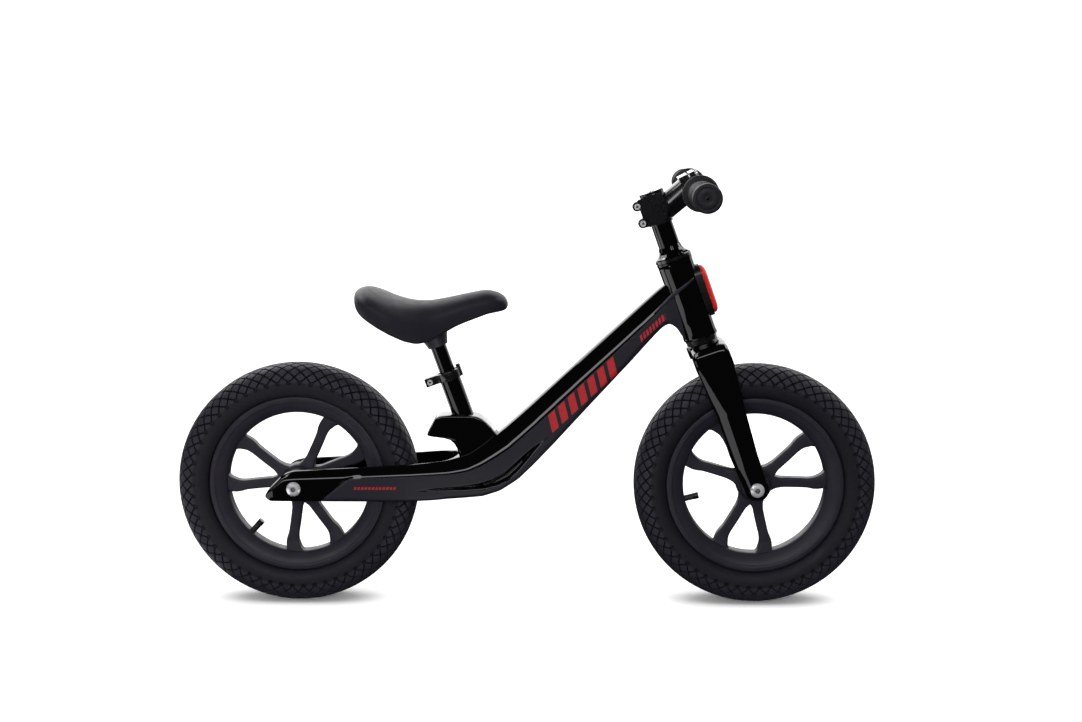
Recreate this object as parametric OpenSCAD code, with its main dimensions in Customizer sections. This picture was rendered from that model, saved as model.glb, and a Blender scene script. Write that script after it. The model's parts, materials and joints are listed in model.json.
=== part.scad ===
// Balance bike for a small child: cast frame and fork, 12 inch cast wheels, no pedals.
// Millimetres. +X forward, +Y to the rider's left, +Z up.
// The origin is on the ground, midway between the two axles.

/* [Wheels] */
// Distance between the two axles
wheelbase = 580; // [572:1:588]
// Outer diameter of a tyre
tyre_od = 306; // [302:1:308]
// Width of a tyre
tyre_w = 57; // [54:0.5:57]
// Outer diameter of the rim flange
rim_od = 224; // [222:1:226]
// Outer diameter of a wheel hub at its middle
hub_od = 46; // [42:1:48]
// Width of one spoke
spoke_w = 12.5; // [10:0.5:14]
// Thickness of the spokes across the bike
spoke_t = 15; // [12:0.5:18]

/* [Frame] */
// Backward lean of the head tube and of the seat tube from the vertical
lean = 19.5; // [19.2:0.1:19.8]
// Length of the head tube
head_tube_l = 104; // [102:1:106]
// Width of the down tube
down_tube_w = 42; // [38:1:44]
// Width over the two chain stays at the axle
stay_outer_w = 97; // [96:0.5:99]
// Clear width between the two chain stays
stay_gap_w = 70; // [66:0.5:72]

/* [Fork] */
// Width over the two fork blades at the axle
fork_outer_w = 91; // [90:0.5:94]
// Clear width between the two fork blades
fork_gap_w = 69; // [66:0.5:71]
// Outer diameter of the steerer tube
steerer_od = 25.4; // [25:0.1:25.8]

/* [Handlebar] */
// Width over the two grips
bar_w = 402; // [380:1:420]
// Outer diameter of the bar
bar_od = 22.2; // [22:0.1:22.4]
// Length of one grip
grip_l = 103.6; // [95:0.1:110]

/* [Saddle] */
// Outer diameter of the seat post
post_od = 20; // [19.6:0.1:20.4]
// Length of the seat post below the top of the seat tube
post_inside = 115; // [105:1:118]
// Width of the saddle at its back
saddle_back_w = 128; // [118:1:136]
// Width of the saddle at its nose
saddle_nose_w = 54; // [46:1:60]

/* [Hidden] */
$fn = 64;

run_gap = 0.05;           // radial clearance of a running fit
free_gap = 0.3;           // clearance between curved faces that move past each other
past = 1;                 // how far a cutter runs past the face it cuts

axle_z = tyre_od / 2;
rear_x = -wheelbase / 2;
front_x = wheelbase / 2;

// Steering axis: it passes through this point, the centre of the head tube's top rim
head_x = 186;
head_z = 438.5;
// Seat post axis: it passes through this point, near the top of the seat tube
seat_x = -97;
seat_z = 288;

// ---- helpers ----------------------------------------------------------------------------

function unit(v) = v / norm(v);
function signed_turn(a, b) = (b - a + 540) % 360 - 180;
function polar(r, a) = [r * cos(a), r * sin(a)];

// Arc of radius r that rounds the corner b between its neighbours a and c
function corner_arc(a, b, c, r, steps) =
    let (u = unit(a - b), v = unit(c - b), half = acos(u * v) / 2,
         centre = b + unit(u + v) * r / sin(half),
         from = b + u * r / tan(half) - centre,
         to = b + v * r / tan(half) - centre,
         start = atan2(from.y, from.x),
         sweep = signed_turn(start, atan2(to.y, to.x)))
    [for (i = [0 : steps]) centre + polar(r, start + sweep * i / steps)];

// Outline with rounded corners: each entry is [x, y, corner radius]
function rounded(p, steps = 5) =
    [for (i = [0 : len(p) - 1])
        let (k = len(p), a = p[(i + k - 1) % k], b = p[i], c = p[(i + 1) % k])
        each (b[2] == 0 ? [[b.x, b.y]]
            : corner_arc([a.x, a.y], [b.x, b.y], [c.x, c.y], b[2], steps))];

// A side view outline (X, Z) given a thickness across the bike
module across(t) rotate([90, 0, 0]) linear_extrude(t, center = true) children();
// A front view outline (Y, Z) given a length along the bike
module along(from, to) translate([from, 0, 0]) rotate([90, 0, 90])
    linear_extrude(to - from) children();
// A turned part whose axis lies across the bike; its profile is [radius, side]
module turned_across(profile) rotate([90, 0, 0]) rotate_extrude($fn = 96) polygon(profile);
// A ring whose axis lies across the bike, between the side distances y0 and y1
module ring_across(y0, y1, r_out, r_in) translate([0, y1, 0]) rotate([90, 0, 0])
    difference() {
        cylinder(h = y1 - y0, r = r_out);
        translate([0, 0, -past]) cylinder(h = y1 - y0 + 2 * past, r = r_in);
    }
// A ring around the local Z axis
module ring(z0, z1, r_out, r_in) translate([0, 0, z0]) difference() {
    cylinder(h = z1 - z0, r = r_out);
    translate([0, 0, -past]) cylinder(h = z1 - z0 + 2 * past, r = r_in);
}
module rod(z0, z1, r) translate([0, 0, z0]) cylinder(h = z1 - z0, r = r);
module rod_across(y0, y1, r) translate([0, y1, 0]) rotate([90, 0, 0]) cylinder(h = y1 - y0, r = r);
module both_sides() for (side = [-1, 1]) scale_side(side) children();
module scale_side(side) mirror([0, side < 0 ? 1 : 0, 0]) children();

// Local frames: local Z runs up the steering axis or up the seat post
module on_steering() translate([head_x, 0, head_z]) rotate([0, -lean, 0]) children();
module on_seat() translate([seat_x, 0, seat_z]) rotate([0, -lean, 0]) children();
module at_front_axle() translate([front_x, 0, axle_z]) children();
module at_rear_axle() translate([rear_x, 0, axle_z]) children();

// ---- steering stations, measured along the steering axis from the head tube's top rim ----

crown_top = -110.5;
crown_under = -137;
race_top = -107.3;
seal_top = 4;
cover_top = 18;
stem_bottom = 48;
stem_top = 87;
steerer_r = steerer_od / 2;
steerer_wall = 2;
head_r_top = 23;
head_r_bottom = 21.5;
bearing_r = 19;
bearing_h = 7;

// Handlebar centre in the steering frame, and the direction of the stem's arm there
bar_u = 52.8;
bar_s = 74.2;
bar_r = bar_od / 2;
arm_s = (stem_bottom + stem_top) / 2;
arm_angle = atan2(bar_s - arm_s, bar_u);
module at_bar() on_steering() translate([bar_u, 0, bar_s]) rotate([0, -arm_angle, 0]) children();

// ---- frame ------------------------------------------------------------------------------

// Half widths of the frame seen from above, from the rear tip to the head tube
stay_half = stay_outer_w / 2;
tube_half = down_tube_w / 2;
lug_half = 18;
yoke_x = -122;            // centre of the round front end of the wheel slot
lug_r = 13.2;

down_tube_and_lug = rounded([
    [0, 249, 0], [171, 404.5, 0], [195, 412, 0], [205, 370, 0], [200.4, 333.5, 0],
    [187, 371, 12], [125, 302, 0], [0, 168.5, 30], [-30, 146, 20], [-55, 140, 20], [-84, 138.5, 0],
    [-84, 197, 6], [-97, 207, 6], [-123, 210, 2], [-125, 215, 3], [-113, 237, 5],
    [-66, 242.5, 4], [-58, 240, 6], [-36, 218, 6]]);

stay_side = rounded([
    [rear_x - 34, 136, 5], [rear_x - 36, 149, 4], [rear_x - 10, 174, 4], [-138, 183, 0],
    [-100, 184, 0], [-58, 191, 20], [0, 222, 30], [60, 277, 0], [60, 231, 0],
    [0, 168.5, 30], [-30, 146, 20], [-55, 140, 20], [-100, 138, 0], [-150, 136, 0]]);

frame_plan = [
    [rear_x - 40, stay_half], [-150, stay_half], [-90, 42], [-30, 31], [30, 24], [60, tube_half],
    [60, -tube_half], [30, -24], [-30, -31], [-90, -42], [-150, -stay_half],
    [rear_x - 40, -stay_half]];

// Sloped faces along the upper edges of the down tube
module down_tube_bevels() both_sides() translate([0, tube_half, 224]) rotate([0, -42.6, 0])
    rotate([31, 0, 0]) translate([-8, 0, -1]) cube([268, 30, 60]);

// Sloped faces along the upper edges of the chain stays
module stay_bevels() both_sides() translate([rear_x - 50, stay_half, 163.5]) rotate([0, -2.5, 0])
    rotate([42, 0, 0]) cube([250, 30, 40]);

module frame() color([0.05, 0.05, 0.055]) difference() {
    union() {
        intersection() {
            across(2 * stay_half + 2) polygon(stay_side);
            translate([0, 0, 100]) linear_extrude(300) polygon(frame_plan);
        }
        difference() {
            union() {
                across(2 * lug_half) polygon(down_tube_and_lug);
                intersection() {
                    across(down_tube_w) polygon(down_tube_and_lug);
                    translate([0, -40, 100]) cube([300, 80, 400]);
                }
            }
            down_tube_bevels();
        }
        on_steering() translate([0, 0, -head_tube_l])
            cylinder(h = head_tube_l, r1 = head_r_bottom, r2 = head_r_top);
        at_rear_axle() rod_across(-stay_half, stay_half, 15);
    }
    stay_bevels();
    // slot for the rear wheel
    translate([0, 0, 100]) linear_extrude(95) union() {
        circle_slot();
    }
    // head tube bore and the two bearing seats
    on_steering() {
        rod(-head_tube_l - past, past, bearing_r - 2);
        rod(-bearing_h, past, bearing_r);
        rod(-head_tube_l - past, bearing_h - head_tube_l, bearing_r);
    }
    // socket of the seat tube
    on_seat() rod(-140, 40, lug_r);
    // axle bolt holes
    at_rear_axle() rod_across(-60, 60, bolt_r);
}

module circle_slot() {
    translate([yoke_x, 0]) circle(r = stay_gap_w / 2);
    translate([rear_x - 60, -stay_gap_w / 2]) square([yoke_x - rear_x + 60, stay_gap_w]);
}

// ---- seat tube, clamp, post and saddle ----------------------------------------------------

post_r = post_od / 2;
tube_top = 7;             // top of the seat tube along the seat axis
clamp_bottom = -3;
clamp_top = 8;
clamp_ear_u = -24.6;      // clamp bolt behind the seat axis
clamp_bolt_r = 2.5;
post_top = 60;

module seat_tube() color([0.06, 0.06, 0.065]) on_seat() difference() {
    ring(-138, tube_top, lug_r, post_r + run_gap);
    // clamping slit at the back of the tube
    translate([-lug_r - past, -1, tube_top - 24]) cube([lug_r, 2, 30]);
}

module seat_clamp() color([0.08, 0.08, 0.085]) on_seat() difference() {
    union() {
        rod(clamp_bottom, clamp_top, lug_r + 2.8);
        translate([-31, -6.5, clamp_bottom]) cube([20, 13, clamp_top - clamp_bottom]);
        translate([12, -4, clamp_bottom]) cube([5.5, 8, 16]);
    }
    rod(clamp_bottom - past, clamp_top + past, lug_r);
    rod(clamp_top, clamp_top + 10, lug_r);
    translate([-32, -1, clamp_bottom - past]) cube([24, 2, clamp_top - clamp_bottom + 2 * past]);
    translate([clamp_ear_u, 0, 2.3]) rod_across(-10, 10, clamp_bolt_r);
}

module seat_clamp_bolt() color([0.75, 0.75, 0.77]) on_seat() translate([clamp_ear_u, 0, 2.3])
    difference() {
        union() {
            rod_across(-6.5, 6.5, clamp_bolt_r);
            rod_across(-10, -6.5, 3.6);
            rod_across(6.5, 9, 3.4);
        }
        hex_socket(-10, 2.5, 2);
    }

module seat_post() color([0.05, 0.05, 0.055]) on_seat()
    ring(tube_top - post_inside, post_top, post_r, post_r - 1.8);

saddle_outline = rounded([
    [-22.5, 381, 3], [-31, 391.5, 8], [-45, 400, 10], [-62, 398.5, 20], [-90, 391.5, 20],
    [-118, 385.5, 30], [-145, 385.5, 30], [-178, 395.5, 30], [-198, 403, 12], [-211, 400.5, 8],
    [-218, 390, 5], [-210, 376.5, 8], [-180, 351, 20], [-150, 336.5, 15], [-128, 333.5, 10],
    [-108, 343, 12], [-75, 358, 20], [-40, 371.5, 20]], 4);

saddle_plan = rounded([
    [-23, 20, 8], [-28, saddle_nose_w / 2, 12], [-75, saddle_nose_w / 2 + 3, 40],
    [-125, saddle_nose_w / 2 + 18, 60], [-170, saddle_back_w / 2 - 2, 40],
    [-200, saddle_back_w / 2, 25], [-219, 36, 25], [-219, -36, 25],
    [-200, -saddle_back_w / 2, 25], [-170, -saddle_back_w / 2 + 2, 40],
    [-125, -saddle_nose_w / 2 - 18, 60], [-75, -saddle_nose_w / 2 - 3, 40],
    [-28, -saddle_nose_w / 2, 12], [-23, -20, 8]], 4);

base_plan = rounded([
    [-45, 14, 8], [-110, 24, 20], [-170, 44, 20], [-196, 40, 15],
    [-196, -40, 15], [-170, -44, 20], [-110, -24, 20], [-45, -14, 8]]);

base_line = [[-200, 375], [-150, 350], [-125, 348], [-95, 358], [-40, 378]];

module saddle_base() color([0.07, 0.07, 0.075]) difference() {
    union() {
        intersection() {
            across(120) polygon(concat(base_line, [[-40, 373], [-95, 353], [-125, 343],
                [-150, 345], [-200, 370]]));
            translate([0, 0, 300]) linear_extrude(120) polygon(base_plan);
        }
        on_seat() translate([0, 0, 42]) cylinder(h = 20, r1 = 12.5, r2 = 19);
    }
    on_seat() rod(30, post_top, post_r);
}

module saddle_pad() color([0.10, 0.10, 0.105]) difference() {
    intersection() {
        across(160) polygon(saddle_outline);
        translate([0, 0, 300]) linear_extrude(120) polygon(saddle_plan);
    }
    intersection() {
        across(120) polygon(concat(base_line, [[-40, 300], [-200, 300]]));
        translate([0, 0, 300]) linear_extrude(120) polygon(base_plan);
    }
    on_seat() rod(30, 62, 19.5);
}

// ---- headset ------------------------------------------------------------------------------

module upper_headset_bearing() color("silver") on_steering()
    ring(-bearing_h, 0, bearing_r, steerer_r + run_gap);
module lower_headset_bearing() color("silver") on_steering()
    ring(-head_tube_l, bearing_h - head_tube_l, bearing_r, steerer_r + run_gap);
module lower_headset_cup() color([0.1, 0.1, 0.1]) on_steering()
    ring(race_top + free_gap, -head_tube_l, 20.5, steerer_r + 0.5);
module crown_race() color([0.1, 0.1, 0.1]) on_steering()
    ring(crown_top, race_top, 20, steerer_r);
module headset_seal() color([0.12, 0.12, 0.12]) on_steering()
    ring(free_gap, seal_top, 23.5, steerer_r);

module headset_cover() color([0.05, 0.05, 0.055]) on_steering() rotate_extrude($fn = 96)
    polygon([[steerer_r, seal_top], [23.2, seal_top], [22.4, seal_top + 1.4], [19.2, 7.2],
        [16.8, 10], [15.2, 13.2], [14.3, cover_top], [steerer_r, cover_top]]);

module headset_spacer() color([0.05, 0.05, 0.055]) on_steering()
    ring(cover_top, stem_bottom, 13.6, steerer_r);

// ---- badge on the head tube ---------------------------------------------------------------

badge_top = -15;
badge_bottom = -83;
badge_face = 27;

// A slot shape with round ends, standing across the head tube's front
module badge_slot(r, inset) {
    translate([0, badge_top - inset - r]) circle(r = r);
    translate([0, badge_bottom + inset + r]) circle(r = r);
    translate([-r, badge_bottom + inset + r])
        square([2 * r, badge_top - badge_bottom - 2 * inset - 2 * r]);
}
module badge_housing() color([0.04, 0.04, 0.04]) on_steering() difference() {
    along(12, badge_face) badge_slot(15, 0);
    translate([0, 0, -head_tube_l]) cylinder(h = head_tube_l, r1 = head_r_bottom, r2 = head_r_top);
}
module badge_lens() color([0.85, 0.06, 0.04]) on_steering() {
    along(badge_face, badge_face + 4) badge_slot(13, 2.5);
    along(badge_face + 4, badge_face + 6.5) badge_slot(10.5, 5);
}

// ---- fork ---------------------------------------------------------------------------------

blade_in = fork_gap_w / 2;
blade_out = fork_outer_w / 2;
// front axle in the steering frame
axle_u = (front_x - head_x) * cos(lean) + (axle_z - head_z) * sin(lean);
axle_s = (axle_z - head_z) * cos(lean) - (front_x - head_x) * sin(lean);

blade_side = rounded([
    [-19.5, crown_top, 2], [-19, -146, 60], [-14.4, -202, 80], [-14.4, -272, 20],
    [axle_u - 15, axle_s + 6, 0], [axle_u - 15, axle_s - 15, 14], [axle_u + 15, axle_s - 15, 14],
    [axle_u + 15, axle_s + 10, 0], [17.6, -262, 30], [21, -207, 80], [27.3, -150, 60],
    [26.5, -117, 8], [21, crown_top, 2]]);

fork_front = rounded([
    [-22, crown_top, 2], [22, crown_top, 2], [39, -126, 16], [47.5, -150, 30], [48.5, -195, 60],
    [blade_out, -290, 60], [blade_out, axle_s - 25, 0], [blade_in, axle_s - 25, 0],
    [blade_in, -160, 20], [28, crown_under, 12], [-28, crown_under, 12], [-blade_in, -160, 20],
    [-blade_in, axle_s - 25, 0], [-blade_out, axle_s - 25, 0], [-blade_out, -290, 60],
    [-48.5, -195, 60], [-47.5, -150, 30], [-39, -126, 16]]);

module fork() color([0.05, 0.05, 0.055]) difference() {
    on_steering() intersection() {
        across(110) polygon(blade_side);
        along(-40, 40) polygon(fork_front);
    }
    on_steering() rod(crown_under - past, crown_top + past, steerer_r);
    at_front_axle() rod_across(-60, 60, bolt_r);
}

module steerer_tube() color([0.5, 0.5, 0.52]) on_steering()
    ring(crown_under, stem_top - 3, steerer_r, steerer_r - steerer_wall);

// ---- stem and handlebar -------------------------------------------------------------------

pinch_u = -22.3;
pinch_s = [56.2, 78.4];
pinch_r = 2.5;
clamp_half = 21;          // half width of the bar clamp across the bike
plate_bolt_y = 14;
plate_bolt_s = 18;
plate_bolt_r = 2;

module bar_clamp_block(x0, x1) translate([x0, -clamp_half, -24])
    cube([x1 - x0, 2 * clamp_half, 48]);

// Side plate of the steerer clamp, which comes to a blunt point where the neck leaves it
stem_plate = rounded([
    [-20.5, 50.3, 1], [4.6, 48.6, 4], [16.5, 67.6, 5], [9, 86.4, 7], [-20.5, 86, 2]]);
neck_start = [10, 65.2];
neck_angle = 20;
neck_r = 16;

module stem() color([0.07, 0.07, 0.075]) difference() {
    union() {
        on_steering() {
            rod(stem_bottom, stem_top, 15.6);
            across(33) polygon(stem_plate);
            for (s = pinch_s) translate([pinch_u, 0, s]) rod_across(-13, 13, 6);
            translate([neck_start.x, 0, neck_start.y]) rotate([0, 90 - neck_angle, 0])
                cylinder(h = 34, r = neck_r);
        }
        at_bar() {
            intersection() {
                rod_across(-clamp_half, clamp_half, 16.5);
                bar_clamp_block(-30, -1);
            }
            translate([-13, -clamp_half, -22.5]) cube([12, 2 * clamp_half, 45]);
        }
    }
    on_steering() {
        rod(stem_bottom - past, stem_top + past, steerer_r);
        // clamping slit
        translate([-40, -0.75, stem_bottom - past]) cube([35, 1.5, 60]);
        for (s = pinch_s) translate([pinch_u, 0, s]) {
            rod_across(-30, 30, pinch_r);
            both_sides() rod_across(13, 20, 6.2);
        }
    }
    at_bar() {
        rod_across(-40, 40, bar_r + run_gap);
        plate_bolt_places() rod_along(-14, 10, plate_bolt_r);
    }
}

module rod_along(x0, x1, r) translate([x0, 0, 0]) rotate([0, 90, 0]) cylinder(h = x1 - x0, r = r);
module plate_bolt_places() for (y = [-plate_bolt_y, plate_bolt_y], s = [-plate_bolt_s, plate_bolt_s])
    translate([0, y, s]) children();
// Hexagon recess in the head of a bolt that lies across the bike, opening towards -Y
module hex_socket(y0, across_flats, depth) translate([0, y0 + depth, 0]) rotate([90, 0, 0])
    cylinder(h = depth + past, r = across_flats / sqrt(3), $fn = 6);

module stem_faceplate() color([0.07, 0.07, 0.075]) at_bar() difference() {
    union() {
        intersection() {
            rod_across(-clamp_half, clamp_half, 16.5);
            bar_clamp_block(1, 30);
        }
        translate([1, -clamp_half, -22.5]) cube([7, 2 * clamp_half, 45]);
    }
    rod_across(-40, 40, bar_r + run_gap);
    plate_bolt_places() rod_along(-5, 30, plate_bolt_r);
    plate_bolt_places() rod_along(8, 30, 4);
}

module stem_pinch_bolts() color([0.75, 0.75, 0.77]) on_steering()
    for (s = pinch_s) translate([pinch_u, 0, s]) difference() {
        union() {
            rod_across(-13, 13, pinch_r);
            rod_across(-17, -13, 3.8);
        }
        hex_socket(-17, 3, 2);
    }

module faceplate_bolts() color([0.75, 0.75, 0.77]) at_bar() plate_bolt_places() {
    difference() {
        union() {
            rod_along(-13, 8, plate_bolt_r);
            rod_along(8, 11.5, 3.4);
        }
        translate([10, 0, 0]) rotate([0, 90, 0]) cylinder(h = 4, r = 3 / sqrt(3), $fn = 6);
    }
}

module star_nut() color("silver") on_steering() difference() {
    union() {
        rod(60, 61.5, steerer_r - steerer_wall);
        rod(66, 67.5, steerer_r - steerer_wall);
        rod(60, 70, 5);
    }
    rod(59, 71, 3);
}
module top_cap() color([0.06, 0.06, 0.06]) on_steering() difference() {
    union() {
        rod(stem_top, stem_top + 3, 15.5);
        rod(stem_top - 3, stem_top, steerer_r - 0.2);
    }
    rod(stem_top - 4, stem_top + 4, 3);
    rod(stem_top + 1.5, stem_top + 4, 5);
}
module top_cap_bolt() color([0.75, 0.75, 0.77]) on_steering() difference() {
    union() {
        rod(60, stem_top + 1.5, 3);
        rod(stem_top + 1.5, stem_top + 3.5, 4.8);
    }
    rod(stem_top + 1.5, stem_top + 4.5, 2);
}

bar_end = bar_w / 2 - 3;
module at_bar_centre() translate([head_x + bar_u * cos(lean) - bar_s * sin(lean), 0,
    head_z + bar_u * sin(lean) + bar_s * cos(lean)]) children();

module handlebar() color([0.05, 0.05, 0.055]) at_bar_centre()
    ring_across(-bar_end, bar_end, bar_r, bar_r - 1.8);

// Rubber grip: [radius, distance from the bike's middle]; a big inner flange and a closed end
grip_in = bar_w / 2 - grip_l;
grip_ring_pitch = 6;
module grip() rotate([-90, 0, 0]) rotate_extrude($fn = 96) polygon(concat(
    [[bar_r, grip_in], [21, grip_in], [22.2, grip_in + 1.2], [22.2, grip_in + 3.8],
        [21, grip_in + 5], [16.2, grip_in + 6]],
    [for (i = [0 : 12], e = [0, 1]) [e == 0 ? 16.2 : 15.4,
        grip_in + 12 + i * grip_ring_pitch + (e == 0 ? 0 : 3)]],
    [[16.2, bar_w / 2 - 10], [17.3, bar_w / 2 - 9], [17.3, bar_w / 2 - 1.5], [15.8, bar_w / 2],
        [1.6, bar_w / 2], [1.6, bar_end + 0.1], [bar_r, bar_end + 0.1]]));
module left_grip() color([0.08, 0.08, 0.08]) at_bar_centre() grip();
module right_grip() color([0.08, 0.08, 0.08]) at_bar_centre() mirror([0, 1, 0]) grip();

// ---- wheels -------------------------------------------------------------------------------

rim_r = rim_od / 2;
hub_half = 26;
bearing_out_r = 12;
race_gap_r = 8.5;
axle_r = 6;
bolt_r = 4;
bearing_w = 6;
seat_r = rim_r - 8;       // radius on which the tyre's beads sit
well_r = rim_r - 13;
rim_in_r = rim_r - 22;

rim_section = [
    [rim_in_r, -9], [seat_r - 1, -20], [rim_r - 1, -20], [rim_r, -19], [rim_r, -17.6],
    [seat_r, -17.2], [seat_r - 0.5, -8], [well_r, -6], [well_r, 6], [seat_r - 0.5, 8],
    [seat_r, 17.2], [rim_r, 17.6], [rim_r, 19], [rim_r - 1, 20], [seat_r - 1, 20], [rim_in_r, 9]];

// Opening between one pair and the next
function window_point(r, a, radius) = [r * cos(a), r * sin(a), radius];
pair_opening = rounded([
    window_point(31, -8, 3.4), window_point(75, -15, 25), window_point(rim_in_r + 0.5, -12.3, 4),
    window_point(rim_in_r + 1, 0, 0),
    window_point(rim_in_r + 0.5, 12.3, 4), window_point(75, 15, 25), window_point(31, 8, 3.4)]);
wide_opening = rounded(concat(
    [window_point(27, 37, 5), window_point(75, 26.4, 25), window_point(rim_in_r + 0.5, 24.2, 5)],
    [for (a = [34 : 8.667 : 87]) window_point(rim_in_r + 0.7, a, 0)],
    [window_point(rim_in_r + 0.5, 95.8, 5), window_point(75, 93.6, 25), window_point(27, 83, 5)],
    [window_point(hub_od / 2 + 1, 60, 8)]));

module wheel(pair_angle, valve_angle) color([0.07, 0.07, 0.07]) difference() {
    union() {
        turned_across(rim_section);
        across(spoke_t) rotate(pair_angle) difference() {
            circle(r = rim_in_r + 2, $fn = 96);
            for (i = [0 : 2]) rotate(120 * i) {
                polygon(pair_opening);
                polygon(wide_opening);
            }
        }
        rod_across(-12, 12, hub_od / 2 - 1);
        rod_across(-hub_half, hub_half, 17);
    }
    rod_across(-hub_half - past, hub_half + past, bearing_out_r - 2);
    both_sides() rod_across(hub_half - bearing_w, hub_half + past, bearing_out_r);
    valve_hole(valve_angle);
}
module valve_axis(angle) rotate([0, 90 - angle, 0]) children();
module valve_hole(angle) valve_axis(angle) rod(rim_in_r - 6, rim_r, 4.1);

// Tyre section: a rounded square whose beads sit inside the rim flanges
crown_r = tyre_od / 2;
belly_r = (crown_r + rim_r - 4) / 2;
belly_half = crown_r - belly_r;
square_power = 2 / 2.7;
function tyre_point(half_h, half_w, a) = [
    belly_r + half_h * sign(sin(a)) * pow(abs(sin(a)), square_power),
    half_w * sign(cos(a)) * pow(abs(cos(a)), square_power)];
bead_angle = -46;
tyre_wall = 3.6;
module tyre() color([0.10, 0.10, 0.10]) turned_across(concat(
    [[seat_r + 0.1, 12.6], [seat_r + 0.1, 17], [rim_r + 0.6, 17.3]],
    [for (a = [bead_angle : 8 : 180 - bead_angle]) tyre_point(belly_half, tyre_w / 2, a)],
    [[rim_r + 0.6, -17.3], [seat_r + 0.1, -17], [seat_r + 0.1, -12.6]],
    [[rim_r + 3.5, -14.2]],
    [for (a = [180 - bead_angle - 6 : -10 : bead_angle + 6])
        tyre_point(belly_half - tyre_wall, tyre_w / 2 - tyre_wall, a)],
    [[rim_r + 3.5, 14.2]]));

module inner_tube() color([0.15, 0.15, 0.15]) turned_across([for (a = [0 : 10 : 350])
    [belly_r - 2 + (belly_half - 6) * sin(a), (tyre_w / 2 - 7) * cos(a)]]);

module valve(angle) color([0.08, 0.08, 0.08]) valve_axis(angle) {
    rod(rim_in_r - 11, rim_r - 1, 3.9);
    rod(rim_r - 12.7, rim_r - 8, 5.5);
    rod(rim_in_r - 14, rim_in_r - 11, 3);
}
module valve_cap(angle) color([0.05, 0.05, 0.05]) valve_axis(angle) difference() {
    rod(rim_in_r - 18, rim_in_r - 11, 4.2);
    rod(rim_in_r - 14, rim_in_r - 10, 3);
}

module bearing_outer_rings() color("silver") both_sides()
    ring_across(hub_half - bearing_w, hub_half, bearing_out_r, race_gap_r);
module bearing_inner_rings() color("silver") both_sides()
    ring_across(hub_half - bearing_w, hub_half, race_gap_r - run_gap, axle_r);
module bearing_spacer() color([0.6, 0.6, 0.62])
    ring_across(bearing_w - hub_half, hub_half - bearing_w, 8, axle_r);
module end_spacers(gap_w) color([0.6, 0.6, 0.62]) both_sides()
    ring_across(hub_half, gap_w / 2, 8, axle_r);
module axle(gap_w) color([0.6, 0.6, 0.62]) ring_across(-gap_w / 2, gap_w / 2, axle_r, bolt_r);
module axle_bolts(gap_w, outer_w) color([0.78, 0.78, 0.8]) both_sides() rotate([0, 0, 180])
    difference() {
        union() {
            rod_across(-outer_w / 2, 18 - gap_w / 2, bolt_r);
            button_head(outer_w / 2);
        }
        hex_socket(-outer_w / 2 - 4, 6, 3);
    }
// Low domed head that sits on the outer face of a dropout
module button_head(y) mirror([0, 1, 0]) rotate([-90, 0, 0]) rotate_extrude()
    polygon([[0, y], [9, y], [9, y + 1.2], [8.2, y + 2.6], [6.6, y + 3.6], [4.8, y + 4], [0, y + 4]]);

module front_wheel() at_front_axle() wheel(21, 193.7);
module front_tyre() at_front_axle() tyre();
module front_inner_tube() at_front_axle() inner_tube();
module front_valve() at_front_axle() valve(193.7);
module front_valve_cap() at_front_axle() valve_cap(193.7);
module rear_wheel() at_rear_axle() wheel(43.7, 227);

frame();
seat_tube();
seat_clamp();
seat_clamp_bolt();
upper_headset_bearing();
lower_headset_bearing();
lower_headset_cup();
badge_housing();
badge_lens();
seat_post();
saddle_base();
saddle_pad();
fork();
steerer_tube();
crown_race();
headset_seal();
headset_cover();
headset_spacer();
star_nut();
top_cap();
top_cap_bolt();
stem();
stem_faceplate();
stem_pinch_bolts();
faceplate_bolts();
handlebar();
left_grip();
right_grip();
front_wheel();
front_tyre();
front_inner_tube();
front_valve();
front_valve_cap();
at_front_axle() bearing_outer_rings();  // front_bearing_outer_rings
at_front_axle() bearing_inner_rings();  // front_bearing_inner_rings
at_front_axle() bearing_spacer();  // front_bearing_spacer
at_front_axle() end_spacers(fork_gap_w);  // front_end_spacers
at_front_axle() axle(fork_gap_w);  // front_axle
at_front_axle() axle_bolts(fork_gap_w, fork_outer_w);  // front_axle_bolts
rear_wheel();
at_rear_axle() tyre();  // rear_tyre
at_rear_axle() inner_tube();  // rear_inner_tube
at_rear_axle() valve(227);  // rear_valve
at_rear_axle() valve_cap(227);  // rear_valve_cap
at_rear_axle() bearing_outer_rings();  // rear_bearing_outer_rings
at_rear_axle() bearing_inner_rings();  // rear_bearing_inner_rings
at_rear_axle() bearing_spacer();  // rear_bearing_spacer
at_rear_axle() end_spacers(stay_gap_w);  // rear_end_spacers
at_rear_axle() axle(stay_gap_w);  // rear_axle
at_rear_axle() axle_bolts(stay_gap_w, stay_outer_w);  // rear_axle_bolts
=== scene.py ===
import json
import math

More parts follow.
